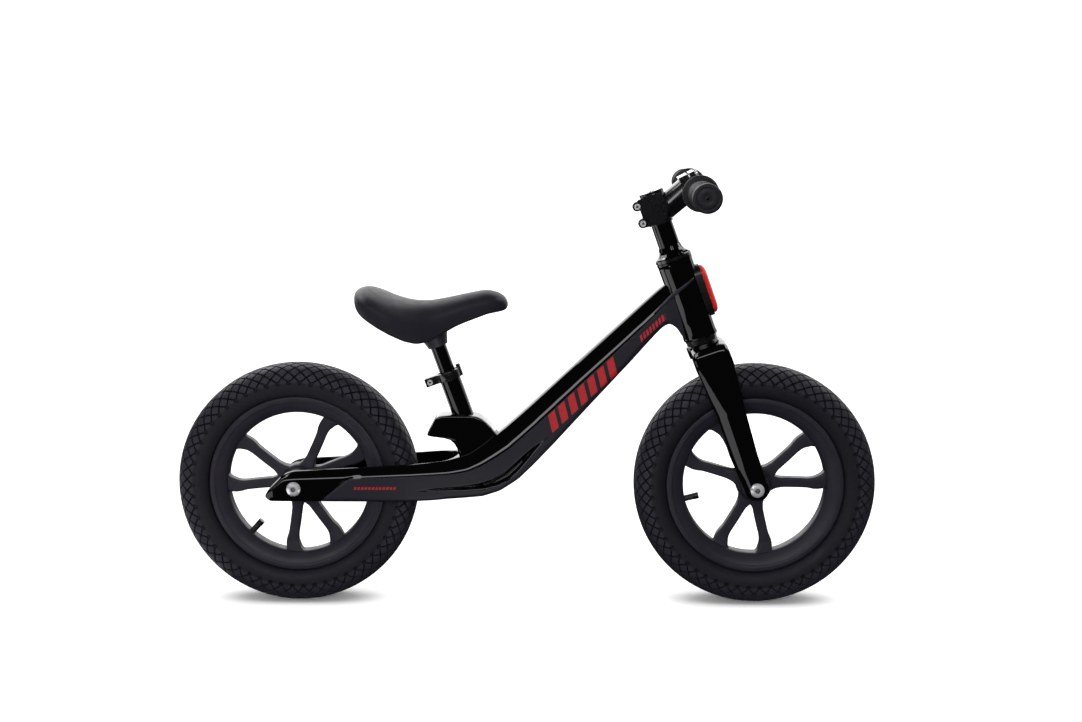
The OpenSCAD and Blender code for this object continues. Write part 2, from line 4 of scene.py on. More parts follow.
import bmesh
import bpy
import numpy as np
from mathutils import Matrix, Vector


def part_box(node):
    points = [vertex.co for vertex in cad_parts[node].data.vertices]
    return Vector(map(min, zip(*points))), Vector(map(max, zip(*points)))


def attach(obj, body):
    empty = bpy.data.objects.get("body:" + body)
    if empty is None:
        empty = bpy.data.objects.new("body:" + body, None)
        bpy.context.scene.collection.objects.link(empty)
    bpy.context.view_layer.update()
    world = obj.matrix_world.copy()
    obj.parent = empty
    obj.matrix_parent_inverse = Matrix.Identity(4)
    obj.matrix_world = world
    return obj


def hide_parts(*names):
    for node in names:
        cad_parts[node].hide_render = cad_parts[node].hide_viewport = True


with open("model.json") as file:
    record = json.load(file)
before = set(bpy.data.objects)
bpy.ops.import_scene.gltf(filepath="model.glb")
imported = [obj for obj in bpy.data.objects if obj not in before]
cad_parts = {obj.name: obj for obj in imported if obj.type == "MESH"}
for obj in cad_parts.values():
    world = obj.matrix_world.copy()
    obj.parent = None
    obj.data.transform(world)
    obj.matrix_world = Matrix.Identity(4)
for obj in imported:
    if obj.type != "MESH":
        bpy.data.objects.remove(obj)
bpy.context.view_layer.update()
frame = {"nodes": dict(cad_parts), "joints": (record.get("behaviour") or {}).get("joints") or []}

# ---- studio ------------------------------------------------------------------------------
# A flat pale floor before a white backdrop, soft lamps that show as bands in the paint, one
# fill lamp that lights the bike evenly, and a camera with a short telephoto lens. Between the
# lamps the paint mirrors a nearly dark room, so that black stays black.

MM = 0.001


def new_object(name, data):
    """A mesh, lamp or camera as an object at the origin."""
    obj = bpy.data.objects.new(name, data)
    bpy.context.scene.collection.objects.link(obj)
    return obj


def surface(name, points, close_u=False, close_v=True, caps=False):
    """A grid of points (rows u, columns v, in millimetres) as a mesh of quads. A closed
    direction joins its last row to its first, and caps close both ends with a fan."""
    rows, cols = points.shape[:2]
    index = np.arange(rows * cols).reshape(rows, cols)
    a = index if close_u else index[:-1]
    b = np.roll(index, -1, 0) if close_u else index[1:]
    if close_v:
        quads = np.stack([a, np.roll(a, -1, 1), np.roll(b, -1, 1), b], -1)
    else:
        quads = np.stack([a[:, :-1], a[:, 1:], b[:, 1:], b[:, :-1]], -1)
    faces = quads.reshape(-1, 4).tolist()
    coords = points.reshape(-1, 3)
    if caps:
        ends = [(index[0][::-1], points[0].mean(0)), (index[-1], points[-1].mean(0))]
        for k, (ring, centre) in enumerate(ends):
            coords = np.vstack([coords, centre])
            tip = rows * cols + k
            faces += [[int(p), int(q), tip] for p, q in zip(ring, np.roll(ring, -1))]
    mesh = bpy.data.meshes.new(name)
    mesh.from_pydata((coords * MM).tolist(), [], faces)
    return mesh


def nodes_of(name):
    """A new material, its node tree and its shader."""
    mat = bpy.data.materials.new(name)
    mat.use_nodes = True
    tree = mat.node_tree
    return mat, tree, tree.nodes["Principled BSDF"]


def add(tree, kind, **values):
    """A new node. Each value goes to the input of that name, or else to the node itself."""
    node = tree.nodes.new(kind)
    for key, value in values.items():
        if key in node.inputs:
            node.inputs[key].default_value = value
        else:
            setattr(node, key, value)
    return node


def ramp_between(tree, value, low, high, at_low, at_high):
    """A straight ramp from at_low to at_high while the value goes from low to high."""
    limits = {"From Min": low, "From Max": high, "To Min": at_low, "To Max": at_high}
    node = add(tree, "ShaderNodeMapRange", **limits)
    tree.links.new(value, node.inputs["Value"])
    return node.outputs["Result"]


def mix_shaders(tree, share, first, second):
    """The first shader where the share is 0, and the second where it is 1."""
    node = add(tree, "ShaderNodeMixShader")
    for socket, source in zip(node.inputs, (share, first, second)):
        tree.links.new(source, socket)
    return node.outputs["Shader"]


def floor_disc():
    """Rings about the middle of the scene: even steps under the bike, then each ring a fixed
    share wider than the last, out to 40 m."""
    radius = np.concatenate([[0.001], np.linspace(0.05, 1.0, 20), np.geomspace(1.2, 40.0, 16)])
    angle = np.arange(64) * 2 * np.pi / 64
    x = radius[:, None] * np.cos(angle)
    y = radius[:, None] * np.sin(angle)
    return surface("studio_floor", np.stack([x, y, 0 * x], -1) / MM)


def floor_paint():
    """Matt white that glows where the room above is open. Close under a wheel the glow fades,
    which paints a tight contact shadow there on top of the real one.
    """
    mat, tree, shader = nodes_of("pale_floor")
    shader.inputs["Base Color"].default_value = (0.93, 0.93, 0.93, 1)
    shader.inputs["Roughness"].default_value = 0.9
    shader.inputs["Specular IOR Level"].default_value = 0.0
    shader.inputs["Emission Color"].default_value = (1, 1, 1, 1)
    # Painted contact shadow: the glow fades where nearby surfaces close the room in
    open_room = add(tree, "ShaderNodeAmbientOcclusion", Distance=0.06)
    glow_with_painted_shadow = ramp_between(tree, open_room.outputs["AO"], 0.4, 0.9, 0.0, 0.9)
    tree.links.new(glow_with_painted_shadow, shader.inputs["Emission Strength"])
    return mat


floor = new_object("studio_floor", floor_disc())
floor.data.materials.append(floor_paint())
floor.visible_glossy = False
floor.visible_diffuse = False
floor.visible_shadow = False


def studio_world():
    """White to the camera and nearly dark to mirror rays. All other rays meet a white room
    that is dimmer below the horizon."""
    world = bpy.data.worlds.new("studio")
    world.use_nodes = True
    tree = world.node_tree
    backdrop = tree.nodes["Background"]
    backdrop.inputs["Strength"].default_value = 1.12
    backdrop.inputs["Color"].default_value = (1, 1, 1, 1)
    soft_room = add(tree, "ShaderNodeBackground", Color=(1, 1, 1, 1))
    dark_room = add(tree, "ShaderNodeBackground", Color=(0.9, 0.92, 1.0, 1), Strength=0.02)
    direction = add(tree, "ShaderNodeTexCoord")
    split = add(tree, "ShaderNodeSeparateXYZ")
    tree.links.new(direction.outputs["Generated"], split.inputs["Vector"])
    strength = ramp_between(tree, split.outputs["Z"], -0.35, -0.03, 0.12, 0.62)
    tree.links.new(strength, soft_room.inputs["Strength"])
    ray = add(tree, "ShaderNodeLightPath")
    bounced = mix_shaders(tree, ray.outputs["Is Glossy Ray"], soft_room.outputs["Background"],
                          dark_room.outputs["Background"])
    room = mix_shaders(tree, ray.outputs["Is Camera Ray"], bounced, backdrop.outputs["Background"])
    tree.links.new(room, tree.nodes["World Output"].inputs["Surface"])
    return world


bpy.context.scene.world = studio_world()
bpy.context.scene.view_settings.view_transform = "Standard"


def softbox(name, place, target, width, height, watts, fill=False):
    """A rectangular lamp that faces its target. A fill lamp lights the bike evenly; the others
    only show as bands of light in its paint."""
    light = bpy.data.lights.new(name, "AREA")
    light.shape = "RECTANGLE"
    light.size = width
    light.size_y = height
    light.energy = watts
    lamp = new_object(name, light)
    lamp.location = place
    away = np.array(place, float) - np.array(target, float)
    lamp.rotation_euler = (math.atan2(math.hypot(away[0], away[1]), away[2]), 0,
                           math.atan2(away[1], away[0]) + math.pi / 2)
    lamp.visible_camera = False
    lamp.visible_diffuse = fill
    lamp.visible_glossy = not fill


# Each lamp's place, target, width and height in metres, then its power in watts
bike_middle = (0, 0, 0.3)
softbox("top_left_softbox", (-1.35, 0.75, 1.75), bike_middle, 1.7, 1.5, 34)
softbox("top_right_softbox", (1.5, 0.5, 1.7), bike_middle, 1.2, 1.2, 22)
softbox("top_back_softbox", (0.0, 1.9, 1.9), bike_middle, 3.6, 1.4, 45)
softbox("back_card", (0.0, 2.4, 0.75), (0, 0, 0.35), 5.0, 1.3, 45)
softbox("low_left_card", (-1.15, 0.05, 0.01), (-1.15, 0.05, 1.0), 1.3, 1.5, 9)
softbox("low_front_card", (0.0, -0.33, 0.01), (0.0, -0.33, 1.0), 0.34, 0.36, 0.5)
softbox("right_strip", (2.3, 1.2, 0.8), bike_middle, 0.5, 1.6, 4)
softbox("front_softbox", (-0.7, -3.0, 1.75), bike_middle, 4.2, 0.85, 46)
softbox("front_fill", (-0.3, -3.2, 0.95), bike_middle, 3.0, 1.2, 66, fill=True)

camera_tilt_deg = 7.19
camera_turn_deg = 1.02
camera_data = bpy.data.cameras.new("camera")
camera_data.sensor_width = 36.0
camera_data.lens = 55.1
camera_data.shift_y = -0.0508
camera = new_object("camera", camera_data)
camera.location = (0.056, -2.071, 0.640)
camera.rotation_euler = (math.radians(90 - camera_tilt_deg), 0, math.radians(camera_turn_deg))
bpy.context.scene.camera = camera

# ---- tyres -------------------------------------------------------------------------------
# Air tyres of black rubber, moulded with a diamond lattice of narrow grooves over the tread
# and shoulders, a ring of small pits below it, and a smooth sidewall with a bead line.


def middle_of(node):
    """The middle of a CAD node's box, in millimetres."""
    low, high = (np.array(corner, float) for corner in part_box(node))
    return (low + high) / 2 / MM


front_x = middle_of("front_tyre")[0]
rear_x = middle_of("rear_tyre")[0]
axle_z = middle_of("front_tyre")[2]

# The section: radii of crown and belly, half width, the sidewall's last angle, and the bead and
# the inside as [radius, side]
tyre_r = 152.9
belly_r = 130.5
tyre_half_w = 28.4
section_power = 2.7
sidewall_end_deg = -46
bead = np.array([[112.7, 20.6], [112.6, 19.0], [112.4, 17.4]])
tyre_inside = np.array([[104.6, 17.0], [104.6, 12.8], [109.5, 13.4], [115, 15], [118, 20], [124, 24],
                        [134, 24.8], [142, 22.5], [147, 17], [149, 8]])

# The lattice: diamonds round the wheel, grid steps across each, their size across the tread and
# their rows; the grooves, which get shallower toward the edge; and the pits below the edge
pitches = 58
steps_per_pitch = 14
lattice_mm = 13.6
rows_of_diamonds = 3
groove_depth = 1.9
edge_depth_share = 0.6
edge_fade_w = 7.0
pit_depth = 1.6
pit_r = 2.9
pit_spacing = 14.4
pit_below_edge = 0.6
off_tread = 999.0


def tidy_shell(mesh, sharp_deg=40.0):
    """Welds seams and poles, points the faces outwards, and shades smooth except at edges."""
    bm = bmesh.new()
    bm.from_mesh(mesh)
    bmesh.ops.remove_doubles(bm, verts=bm.verts, dist=0.001 * MM)
    bmesh.ops.dissolve_degenerate(bm, edges=bm.edges, dist=1e-7)
    bmesh.ops.recalc_face_normals(bm, faces=bm.faces)
    bm.to_mesh(mesh)
    bm.free()
    mesh.shade_smooth()
    mesh.set_sharp_from_angle(angle=math.radians(sharp_deg))
    return mesh


def tyre_outline():
    """Half of the tyre's section from the crown to the bead, [radius, side]: a superellipse
    about the belly radius, which turns in over the rim flange to the bead."""
    a = np.radians(np.linspace(90, sidewall_end_deg, 400))
    power = 2 / section_power
    r = belly_r + (tyre_r - belly_r) * np.sign(np.sin(a)) * np.abs(np.sin(a)) ** power
    y = tyre_half_w * np.abs(np.cos(a)) ** power
    r = np.append(r, bead[:, 0])
    y = np.append(y, bead[:, 1])
    length = np.append(0, np.cumsum(np.hypot(np.diff(r), np.diff(y))))
    return length, r, y


def tyre_mesh(name, centre_x):
    """Grid of wheel angle by distance across the tread. A point is lowered where it lies on
    one of the lattice's two families of diagonals, and in a ring of pits where they end. Every
    square is split along its lower diagonal, so that a groove is one sharp valley. The depth is
    kept on the points as painted shade for the grooves and pits."""
    length, r, y = tyre_outline()
    step = lattice_mm / steps_per_pitch
    tread = step * np.arange(int(rows_of_diamonds * steps_per_pitch) + 1)
    side = np.linspace(tread[-1], length[-1], 22)[1:]
    across = np.concatenate([tread, side])
    half = np.stack([np.interp(across, length, r), np.interp(across, length, y)], -1)
    outside = np.vstack([half[::-1], half[1:] * [1, -1]])
    loop = np.vstack([outside, tyre_inside * [1, -1], tyre_inside[::-1]])
    place = np.concatenate([across[::-1], -across[1:], np.full(2 * len(tyre_inside), off_tread)])
    count = pitches * steps_per_pitch
    around = np.arange(count)
    along = np.rint(place / step).astype(int)
    on_tread = np.abs(place) < tread[-1] + 0.1
    valley = (around[:, None] + along) % steps_per_pitch == 0
    valley |= (around[:, None] - along) % steps_per_pitch == 0
    to_edge = tread[-1] - np.abs(place)
    fade = np.clip(to_edge / edge_fade_w + edge_depth_share, edge_depth_share, 1)
    depth = groove_depth * fade * (valley & on_tread)
    turn = (around[:, None] / steps_per_pitch + rows_of_diamonds + 0.5) % 1 - 0.5
    pit = np.hypot(turn * pit_spacing, np.abs(place)[None, :] - tread[-1] - pit_below_edge)
    depth = np.maximum(depth, pit_depth * np.clip(pit_r - pit, 0, 1))
    outward = np.array([loop[:, 0] - belly_r, loop[:, 1]])
    outward /= np.maximum(np.hypot(outward[0], outward[1]), 1)
    angle = around * 2 * np.pi / count
    rr = loop[:, 0] - depth * outward[0]
    yy = loop[:, 1] - depth * outward[1]
    points = np.stack([centre_x + rr * np.cos(angle)[:, None], yy,
                       axle_z + rr * np.sin(angle)[:, None]], -1)
    cols = len(loop)
    index = np.arange(count * cols).reshape(count, cols)
    a, b = index, np.roll(index, -1, 1)
    c, d = np.roll(b, -1, 0), np.roll(index, -1, 0)
    flat = depth.ravel()
    first = (flat[a] + flat[c] >= flat[b] + flat[d])[..., None]
    one = np.where(first, np.stack([a, b, c], -1), np.stack([a, b, d], -1))
    two = np.where(first, np.stack([a, c, d], -1), np.stack([b, c, d], -1))
    faces = np.concatenate([one.reshape(-1, 3), two.reshape(-1, 3)]).tolist()
    mesh = bpy.data.meshes.new(name)
    mesh.from_pydata((points.reshape(-1, 3) * MM).tolist(), [], faces)
    tidy_shell(mesh, 28)
    # The groove attribute: painted shade for the grooves and pits, by their depth
    shade = mesh.attributes.new("groove", "FLOAT", "POINT")
    shade.data.foreach_set("value", np.clip(flat / groove_depth, 0, 1))
    blocks = mesh.attributes.new("tread", "FLOAT", "POINT")
    blocks.data.foreach_set("value", np.tile(on_tread.astype(float), count))
    return mesh


def object_noise(tree, coord, scale, detail):
    """Noise in object space."""
    noise = add(tree, "ShaderNodeTexNoise", Scale=scale, Detail=detail)
    tree.links.new(coord.outputs["Object"], noise.inputs["Vector"])
    return noise.outputs["Fac"]


def emboss(tree, shader, height, strength, distance):
    """A pattern's height as bump on the shader."""
    bump = add(tree, "ShaderNodeBump", Strength=strength, Distance=distance)
    tree.links.new(height, bump.inputs["Height"])
    tree.links.new(bump.outputs["Normal"], shader.inputs["Normal"])


def noise_bump(tree, shader, scale, strength, distance, detail):
    """Fine surface grain from noise. Returns the coordinates, for the other patterns."""
    coord = add(tree, "ShaderNodeTexCoord")
    emboss(tree, shader, object_noise(tree, coord, scale, detail), strength, distance)
    return coord


def vary(tree, shader, socket, coord, scale, low, high):
    """Slow change of a value or colour over the surface, from noise in object space."""
    ramp = add(tree, "ShaderNodeValToRGB")
    for stop, position, value in zip(ramp.color_ramp.elements, (0.35, 0.65), (low, high)):
        stop.position = position
        stop.color = (*np.broadcast_to(value, 3), 1)
    tree.links.new(object_noise(tree, coord, scale, 4.0), ramp.inputs["Fac"])
    tree.links.new(ramp.outputs["Color"], shader.inputs[socket])


def mix_colours(tree, share, first, second):
    """The first colour where the share is 0, and the second where it is 1. A colour is three
    numbers, or the output of another node."""
    node = add(tree, "ShaderNodeMix", data_type="RGBA")
    tree.links.new(share, node.inputs["Factor"])
    for socket, colour in (("A", first), ("B", second)):
        if isinstance(colour, tuple):
            node.inputs[socket].default_value = (*colour, 1)
        else:
            tree.links.new(colour, node.inputs[socket])
    return node.outputs["Result"]


def tyre_rubber():
    """Charcoal rubber with a fine grain: mottled on the tread and darker on the sidewall. The
    tread's lighter colour is partly wear and dust and partly a painted sheen; the grooves and pits
    are nearly black with painted shade."""
    mat, tree, shader = nodes_of("tyre_rubber")
    coord = noise_bump(tree, shader, 900, 0.35, 0.0003, 4)
    vary(tree, shader, "Roughness", coord, 60, 0.50, 0.64)
    shader.inputs["Specular IOR Level"].default_value = 0.22
    # The tread's lighter colour: partly wear and dust, partly a painted sheen
    blocks = mix_colours(tree, object_noise(tree, coord, 22.0, 4.0),
                         (0.0130, 0.0118, 0.0190), (0.0190, 0.0172, 0.0255))
    tread = add(tree, "ShaderNodeAttribute", attribute_name="tread")
    unshaded = mix_colours(tree, tread.outputs["Fac"], (0.0074, 0.0068, 0.0108), blocks)
    # Painted shade: the grooves and pits go nearly black by their depth
    groove = add(tree, "ShaderNodeAttribute", attribute_name="groove")
    groove_shaded = mix_colours(tree, groove.outputs["Fac"], unshaded, (0.0022, 0.0022, 0.0024))
    tree.links.new(groove_shaded, shader.inputs["Base Color"])
    return mat


rubber = tyre_rubber()
for end, x in (("front", front_x), ("rear", rear_x)):
    tyre = new_object(f"{end}_air_tyre", tyre_mesh(f"{end}_air_tyre", x))
    tyre.data.materials.append(rubber)
    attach(tyre, f"{end}_wheel")
    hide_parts(f"{end}_tyre")

# ---- wheels ------------------------------------------------------------------------------
# Each wheel is one light-alloy casting with a matte black powder coat: a rim with rolled
# flanges, three pairs of knee-shaped spokes, and a hub barrel that holds two bearings.

# Half profiles as [radius, side], from the outside to the middle plane
rim_profile = np.array([
    [112, 17.6], [112.1, 18.8], [111.5, 19.7], [110.4, 20.0], [106.2, 20.0], [105.0, 19.7],
    [104.3, 18.9], [103.4, 18.4], [101.5, 17.9], [97, 14.9], [93, 11.9], [91.2, 10.2],
    [90.3, 8.4], [90.0, 6.0], [90.0, 0.0]])
rim_channel = np.array([[104.1, 17.3], [103.6, 8.2], [99.2, 6.2], [99.0, 0.0]])
hub_profile = np.array([
    [12.2, 20.5], [12.2, 25.6], [12.8, 26.0], [16.2, 26.0], [17.0, 25.3], [17.3, 16.0],
    [18.4, 13.2], [21.0, 11.4], [22.6, 9.4], [23.0, 6.0], [23.0, 0.0]])
hub_bore = np.array([[10.5, -19], [10.5, 19]])

# Each table gives a spoke's measure at radii from the hub to the rim: how far it stands from
# the middle of its pair in degrees, its half width, and its half thickness across the bike
spoke_offset = np.array([[13, 15.5], [31, 18.7], [66, 20.4], [75, 20.9], [80, 20.6], [90, 18.6],
                         [96, 17.6]])
spoke_half_w = np.array([[13, 13], [22, 10.6], [27, 8.0], [34, 6.4], [68, 6.3], [76, 7.6],
                         [88, 9.4], [90.5, 10.4], [93, 12.8], [96, 15]])
spoke_half_t = np.array([[13, 10.5], [24, 9.6], [40, 7.6], [78, 7.4], [92, 8.8], [96, 9.2]])


def join_meshes(name, meshes):
    """Several closed shells as one mesh."""
    bm = bmesh.new()
    for mesh in meshes:
        bm.from_mesh(mesh)
    out = bpy.data.meshes.new(name)
    bm.to_mesh(out)
    bm.free()
    return out


def lathe(name, profile, centre, around):
    """A closed [radius, side] profile turned about an axis that lies across the bike."""
    a = np.arange(around) * 2 * np.pi / around
    grid = np.stack([centre[0] + profile[None, :, 0] * np.cos(a)[:, None],
                     centre[1] + profile[None, :, 1] + 0 * a[:, None],
                     centre[2] + profile[None, :, 0] * np.sin(a)[:, None]], -1)
    return surface(name, grid, close_u=True, close_v=True)


def mirrored_loop(half):
    """A half profile and its mirror image, joined where the side distance is zero."""
    return np.vstack([half, (half * [1, -1])[::-1][1:]])


def rounded_box_loop(count, power):
    """Points round a superellipse of half sizes 1 by 1."""
    a = np.arange(count) * 2 * np.pi / count + np.pi / count
    return np.stack([np.sign(np.cos(a)) * np.abs(np.cos(a)) ** (2 / power),
                     np.sign(np.sin(a)) * np.abs(np.sin(a)) ** (2 / power)], -1)


def moving_average(values, window):
    """Values along a line averaged with a bell-shaped window, without the ends."""
    kernel = np.hanning(window + 2)[1:-1]
    return np.convolve(values, kernel / kernel.sum(), "valid")


def softened(values, window):
    """The same average with the end values held, so that the line keeps its length."""
    return moving_average(np.pad(values, window // 2, "edge"), window)


def spoke_mesh(name, centre_x, pair_deg, side):
    """One spoke: a rounded box section carried out along the radius, kneed near the rim and
    flared into the rim and into the hub."""
    radius = np.linspace(13, 96, 64)
    offset = softened(np.interp(radius, *spoke_offset.T), 3)
    half_w = softened(np.interp(radius, *spoke_half_w.T), 3)
    half_t = np.interp(radius, *spoke_half_t.T)
    angle = np.radians(pair_deg + side * offset)
    path = np.stack([np.cos(angle), np.sin(angle)], -1) * radius[:, None]
    tangent = np.gradient(path, axis=0)
    tangent /= np.linalg.norm(tangent, axis=1)[:, None]
    normal = np.stack([-tangent[:, 1], tangent[:, 0]], -1)
    loop = rounded_box_loop(56, 6.5)
    flat = path[:, None, :] + normal[:, None, :] * (half_w[:, None] * loop[None, :, 0])[..., None]
    grid = np.stack([centre_x + flat[..., 0], half_t[:, None] * loop[None, :, 1],
                     axle_z + flat[..., 1]], -1)
    return surface(name, grid, caps=True)


def powder_coat():
    """Matte black powder coat: a fine orange peel over an uneven charcoal."""
    mat, tree, shader = nodes_of("wheel_powder_coat")
    coord = noise_bump(tree, shader, 1400, 0.22, 0.00025, 2)
    vary(tree, shader, "Base Color", coord, 30, (0.0135, 0.0122, 0.0190), (0.0170, 0.0156, 0.0230))
    vary(tree, shader, "Roughness", coord, 90, 0.38, 0.47)
    shader.inputs["Specular IOR Level"].default_value = 0.25
    return mat


casting_coat = powder_coat()
rim_loop = np.vstack([mirrored_loop(rim_profile), mirrored_loop(rim_channel)[::-1]])
hub_loop = np.vstack([mirrored_loop(hub_profile), hub_bore])
for end, x, pair_deg in (("front", front_x, 21.0), ("rear", rear_x, 43.7)):
    shells = [lathe("rim", rim_loop, (x, 0, axle_z), 288),
              lathe("hub", hub_loop, (x, 0, axle_z), 192)]
    shells += [spoke_mesh("spoke", x, pair_deg + 120 * k, side) for k in range(3) for side in (-1, 1)]
    wheel_mesh = tidy_shell(join_meshes(f"{end}_cast_wheel", shells), 45)
    casting = new_object(f"{end}_cast_wheel", wheel_mesh)
    casting.data.materials.append(casting_coat)
    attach(casting, f"{end}_wheel")
    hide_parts(f"{end}_wheel")

# ---- frame -------------------------------------------------------------------------------
# One hollow light-alloy casting: chain stays, yoke, down tube, seat lug and head tube. The
# upper faces are gloss black; the flat sides are a satin panel, with a scooped recess at the
# bend and a raised rib that runs on across the head tube.

# Stations from the rear tip to the head tube. Each gives the upper edge (x, z), the lower edge
# (x, z), the outer half width, and the sloped upper face's width and depth.
stations = np.array([
    [-326.0, 145.5, -326.0, 141.5, 46.5, 1.5, 1.0],
    [-325.0, 149.5, -325.2, 137.6, 47.8, 3.0, 2.0],
    [-320.0, 154.6, -320.5, 136.2, 48.4, 5.0, 3.0],
    [-303.0, 171.0, -303.0, 136.0, 48.5, 8.0, 6.0],
    [-292.0, 174.2, -292.0, 136.0, 48.5, 9.0, 8.2],
    [-240.0, 177.0, -240.0, 136.0, 48.5, 9.0, 9.2],
    [-190.0, 179.8, -190.0, 136.0, 48.5, 9.0, 10.0],
    [-150.0, 182.2, -150.0, 136.2, 48.3, 9.0, 10.8],
    [-120.0, 184.6, -120.0, 137.4, 45.8, 9.5, 12.2],
    [-95.0, 187.2, -96.0, 138.4, 42.6, 10.0, 14.0],
    [-72.0, 193.5, -75.0, 139.2, 39.6, 10.5, 17.5],
    [-55.0, 204.5, -54.0, 140.4, 36.4, 11.0, 21.5],
    [-38.0, 217.5, -32.0, 146.6, 32.8, 11.5, 24.0],
    [-25.0, 227.5, -9.0, 161.0, 29.8, 12.0, 23.5],
    [-11.0, 239.5, 12.0, 181.0, 27.4, 12.0, 22.0],
    [5.0, 253.7, 36.0, 206.0, 25.0, 12.0, 20.8],
    [25.0, 272.0, 60.5, 232.6, 23.2, 12.0, 20.3],
    [50.0, 295.0, 85.3, 259.6, 22.0, 12.0, 20.0],
    [100.0, 341.0, 131.8, 309.9, 20.8, 12.0, 19.6],
    [132.0, 370.2, 161.0, 342.6, 19.6, 11.4, 19.0],
    [146.0, 383.0, 172.5, 354.2, 18.6, 10.8, 18.6],
    [156.0, 392.0, 181.0, 358.4, 17.6, 10.2, 18.2],
    [166.0, 400.8, 190.5, 352.4, 16.4, 9.6, 18.0],
    [174.0, 407.0, 196.5, 341.5, 15.4, 9.0, 18.0],
    [182.0, 413.0, 202.0, 336.5, 14.6, 8.5, 18.0]])
station_count = 460
slot_centre_x = -122.0
slot_half = 35.0

# The section: radii of its upper outer, side, lower and inner edges, how much the top falls
# and the side leans in, and the columns of its grid that carry the panel paint
upper_edge_r = 6.0
side_edge_r = 4.2
lower_edge_r = 7.5
inner_edge_r = 2.5
top_fall = 0.3
side_lean = 0.6
panel_columns = (21, 56)

# The scooped recess in the side at the bend, as an outline in side view, and its depth
scoop_depth = 5.5
scoop = np.array([
    [-141, 150.5], [-110, 150.0], [-75, 149.8], [-50, 151.2], [-33, 155.0], [-20, 161.5], [-8, 172.5],
    [2, 184.0], [13, 198.0], [27.5, 215.0], [9, 203.5], [-4, 192.5], [-15, 182.5], [-28, 171.0],
    [-42, 163.5], [-58, 159.0], [-80, 156.0], [-110, 154.5]])
# The groove that ends the side panel near the axle
panel_groove_depth = 0.9
panel_groove_w = 1.2
panel_groove = np.array([[-262, 133], [-226, 163], [-216, 167.6], [-206, 169.4]])


def smooth_rows(table, count, window):
    """Stations resampled evenly along the upper and lower edges, then softened by a short
    moving average, which rounds their corners. Beyond its ends the table is turned about its
    end row, so that the ends stay."""
    step = np.hypot(np.diff(table[:, 0] + table[:, 2]), np.diff(table[:, 1] + table[:, 3])) / 2
    length = np.append(0, np.cumsum(step))
    even = np.linspace(0, length[-1], count)
    rows = np.stack([np.interp(even, length, column) for column in table.T], -1)
    pad = window // 2
    front = 2 * rows[0] - rows[1:pad + 1][::-1]
    back = 2 * rows[-1] - rows[-pad - 1:-1][::-1]
    padded = np.vstack([front, rows, back])
    return np.stack([moving_average(column, window) for column in padded.T], -1)


def rounded_section(corners, radii, straight_steps):
    """Closed sections with rounded corners for every station at once. corners is (stations,
    corner, 2); each corner is cut back by its radius and bridged with a quadratic curve."""
    before = np.roll(corners, 1, 1) - corners
    after = np.roll(corners, -1, 1) - corners
    len_b = np.maximum(np.linalg.norm(before, axis=2, keepdims=True), 1e-6)
    len_a = np.maximum(np.linalg.norm(after, axis=2, keepdims=True), 1e-6)
    cut = np.minimum(radii[..., None], 0.48 * np.minimum(len_a, len_b))
    start = corners + before / len_b * cut
    end = corners + after / len_a * cut
    t = np.linspace(0, 1, 5)[None, None, :, None]
    arcs = ((1 - t) ** 2 * start[:, :, None] + 2 * t * (1 - t) * corners[:, :, None]
            + t ** 2 * end[:, :, None])
    pieces = []
    for k, steps in enumerate(straight_steps):
        pieces.append(arcs[:, k])
        following = (k + 1) % corners.shape[1]
        s = (np.arange(1, steps) / steps)[None, :, None]
        pieces.append(end[:, k, None] * (1 - s) + start[:, following, None] * s)
    return np.concatenate(pieces, 1)


def edge_distance(px, pz, a, b):
    """Distance from points to the straight edge from a to b."""
    edge = b - a
    t = np.clip(((px - a[0]) * edge[0] + (pz - a[1]) * edge[1]) / (edge @ edge), 0, 1)
    return np.hypot(px - a[0] - t * edge[0], pz - a[1] - t * edge[1])


def line_distance(px, pz, line):
    """Distance from points to an open line."""
    return np.min([edge_distance(px, pz, a, b) for a, b in zip(line[:-1], line[1:])], axis=0)


def inside_distance(px, pz, outline):
    """Distance from points to a closed outline, positive inside it and negative outside. A
    point is inside where a level line from it crosses the outline an odd number of times."""
    inside = np.zeros(px.shape, bool)
    for a, b in zip(outline, np.roll(outline, -1, 0)):
        crosses = (a[1] > pz) != (b[1] > pz)
        slope = (b[0] - a[0]) / (b[1] - a[1] + 1e-12)
        inside ^= crosses & (px < a[0] + slope * (pz - a[1]))
    best = line_distance(px, pz, np.vstack([outline, outline[:1]]))
    return np.where(inside, best, -best)


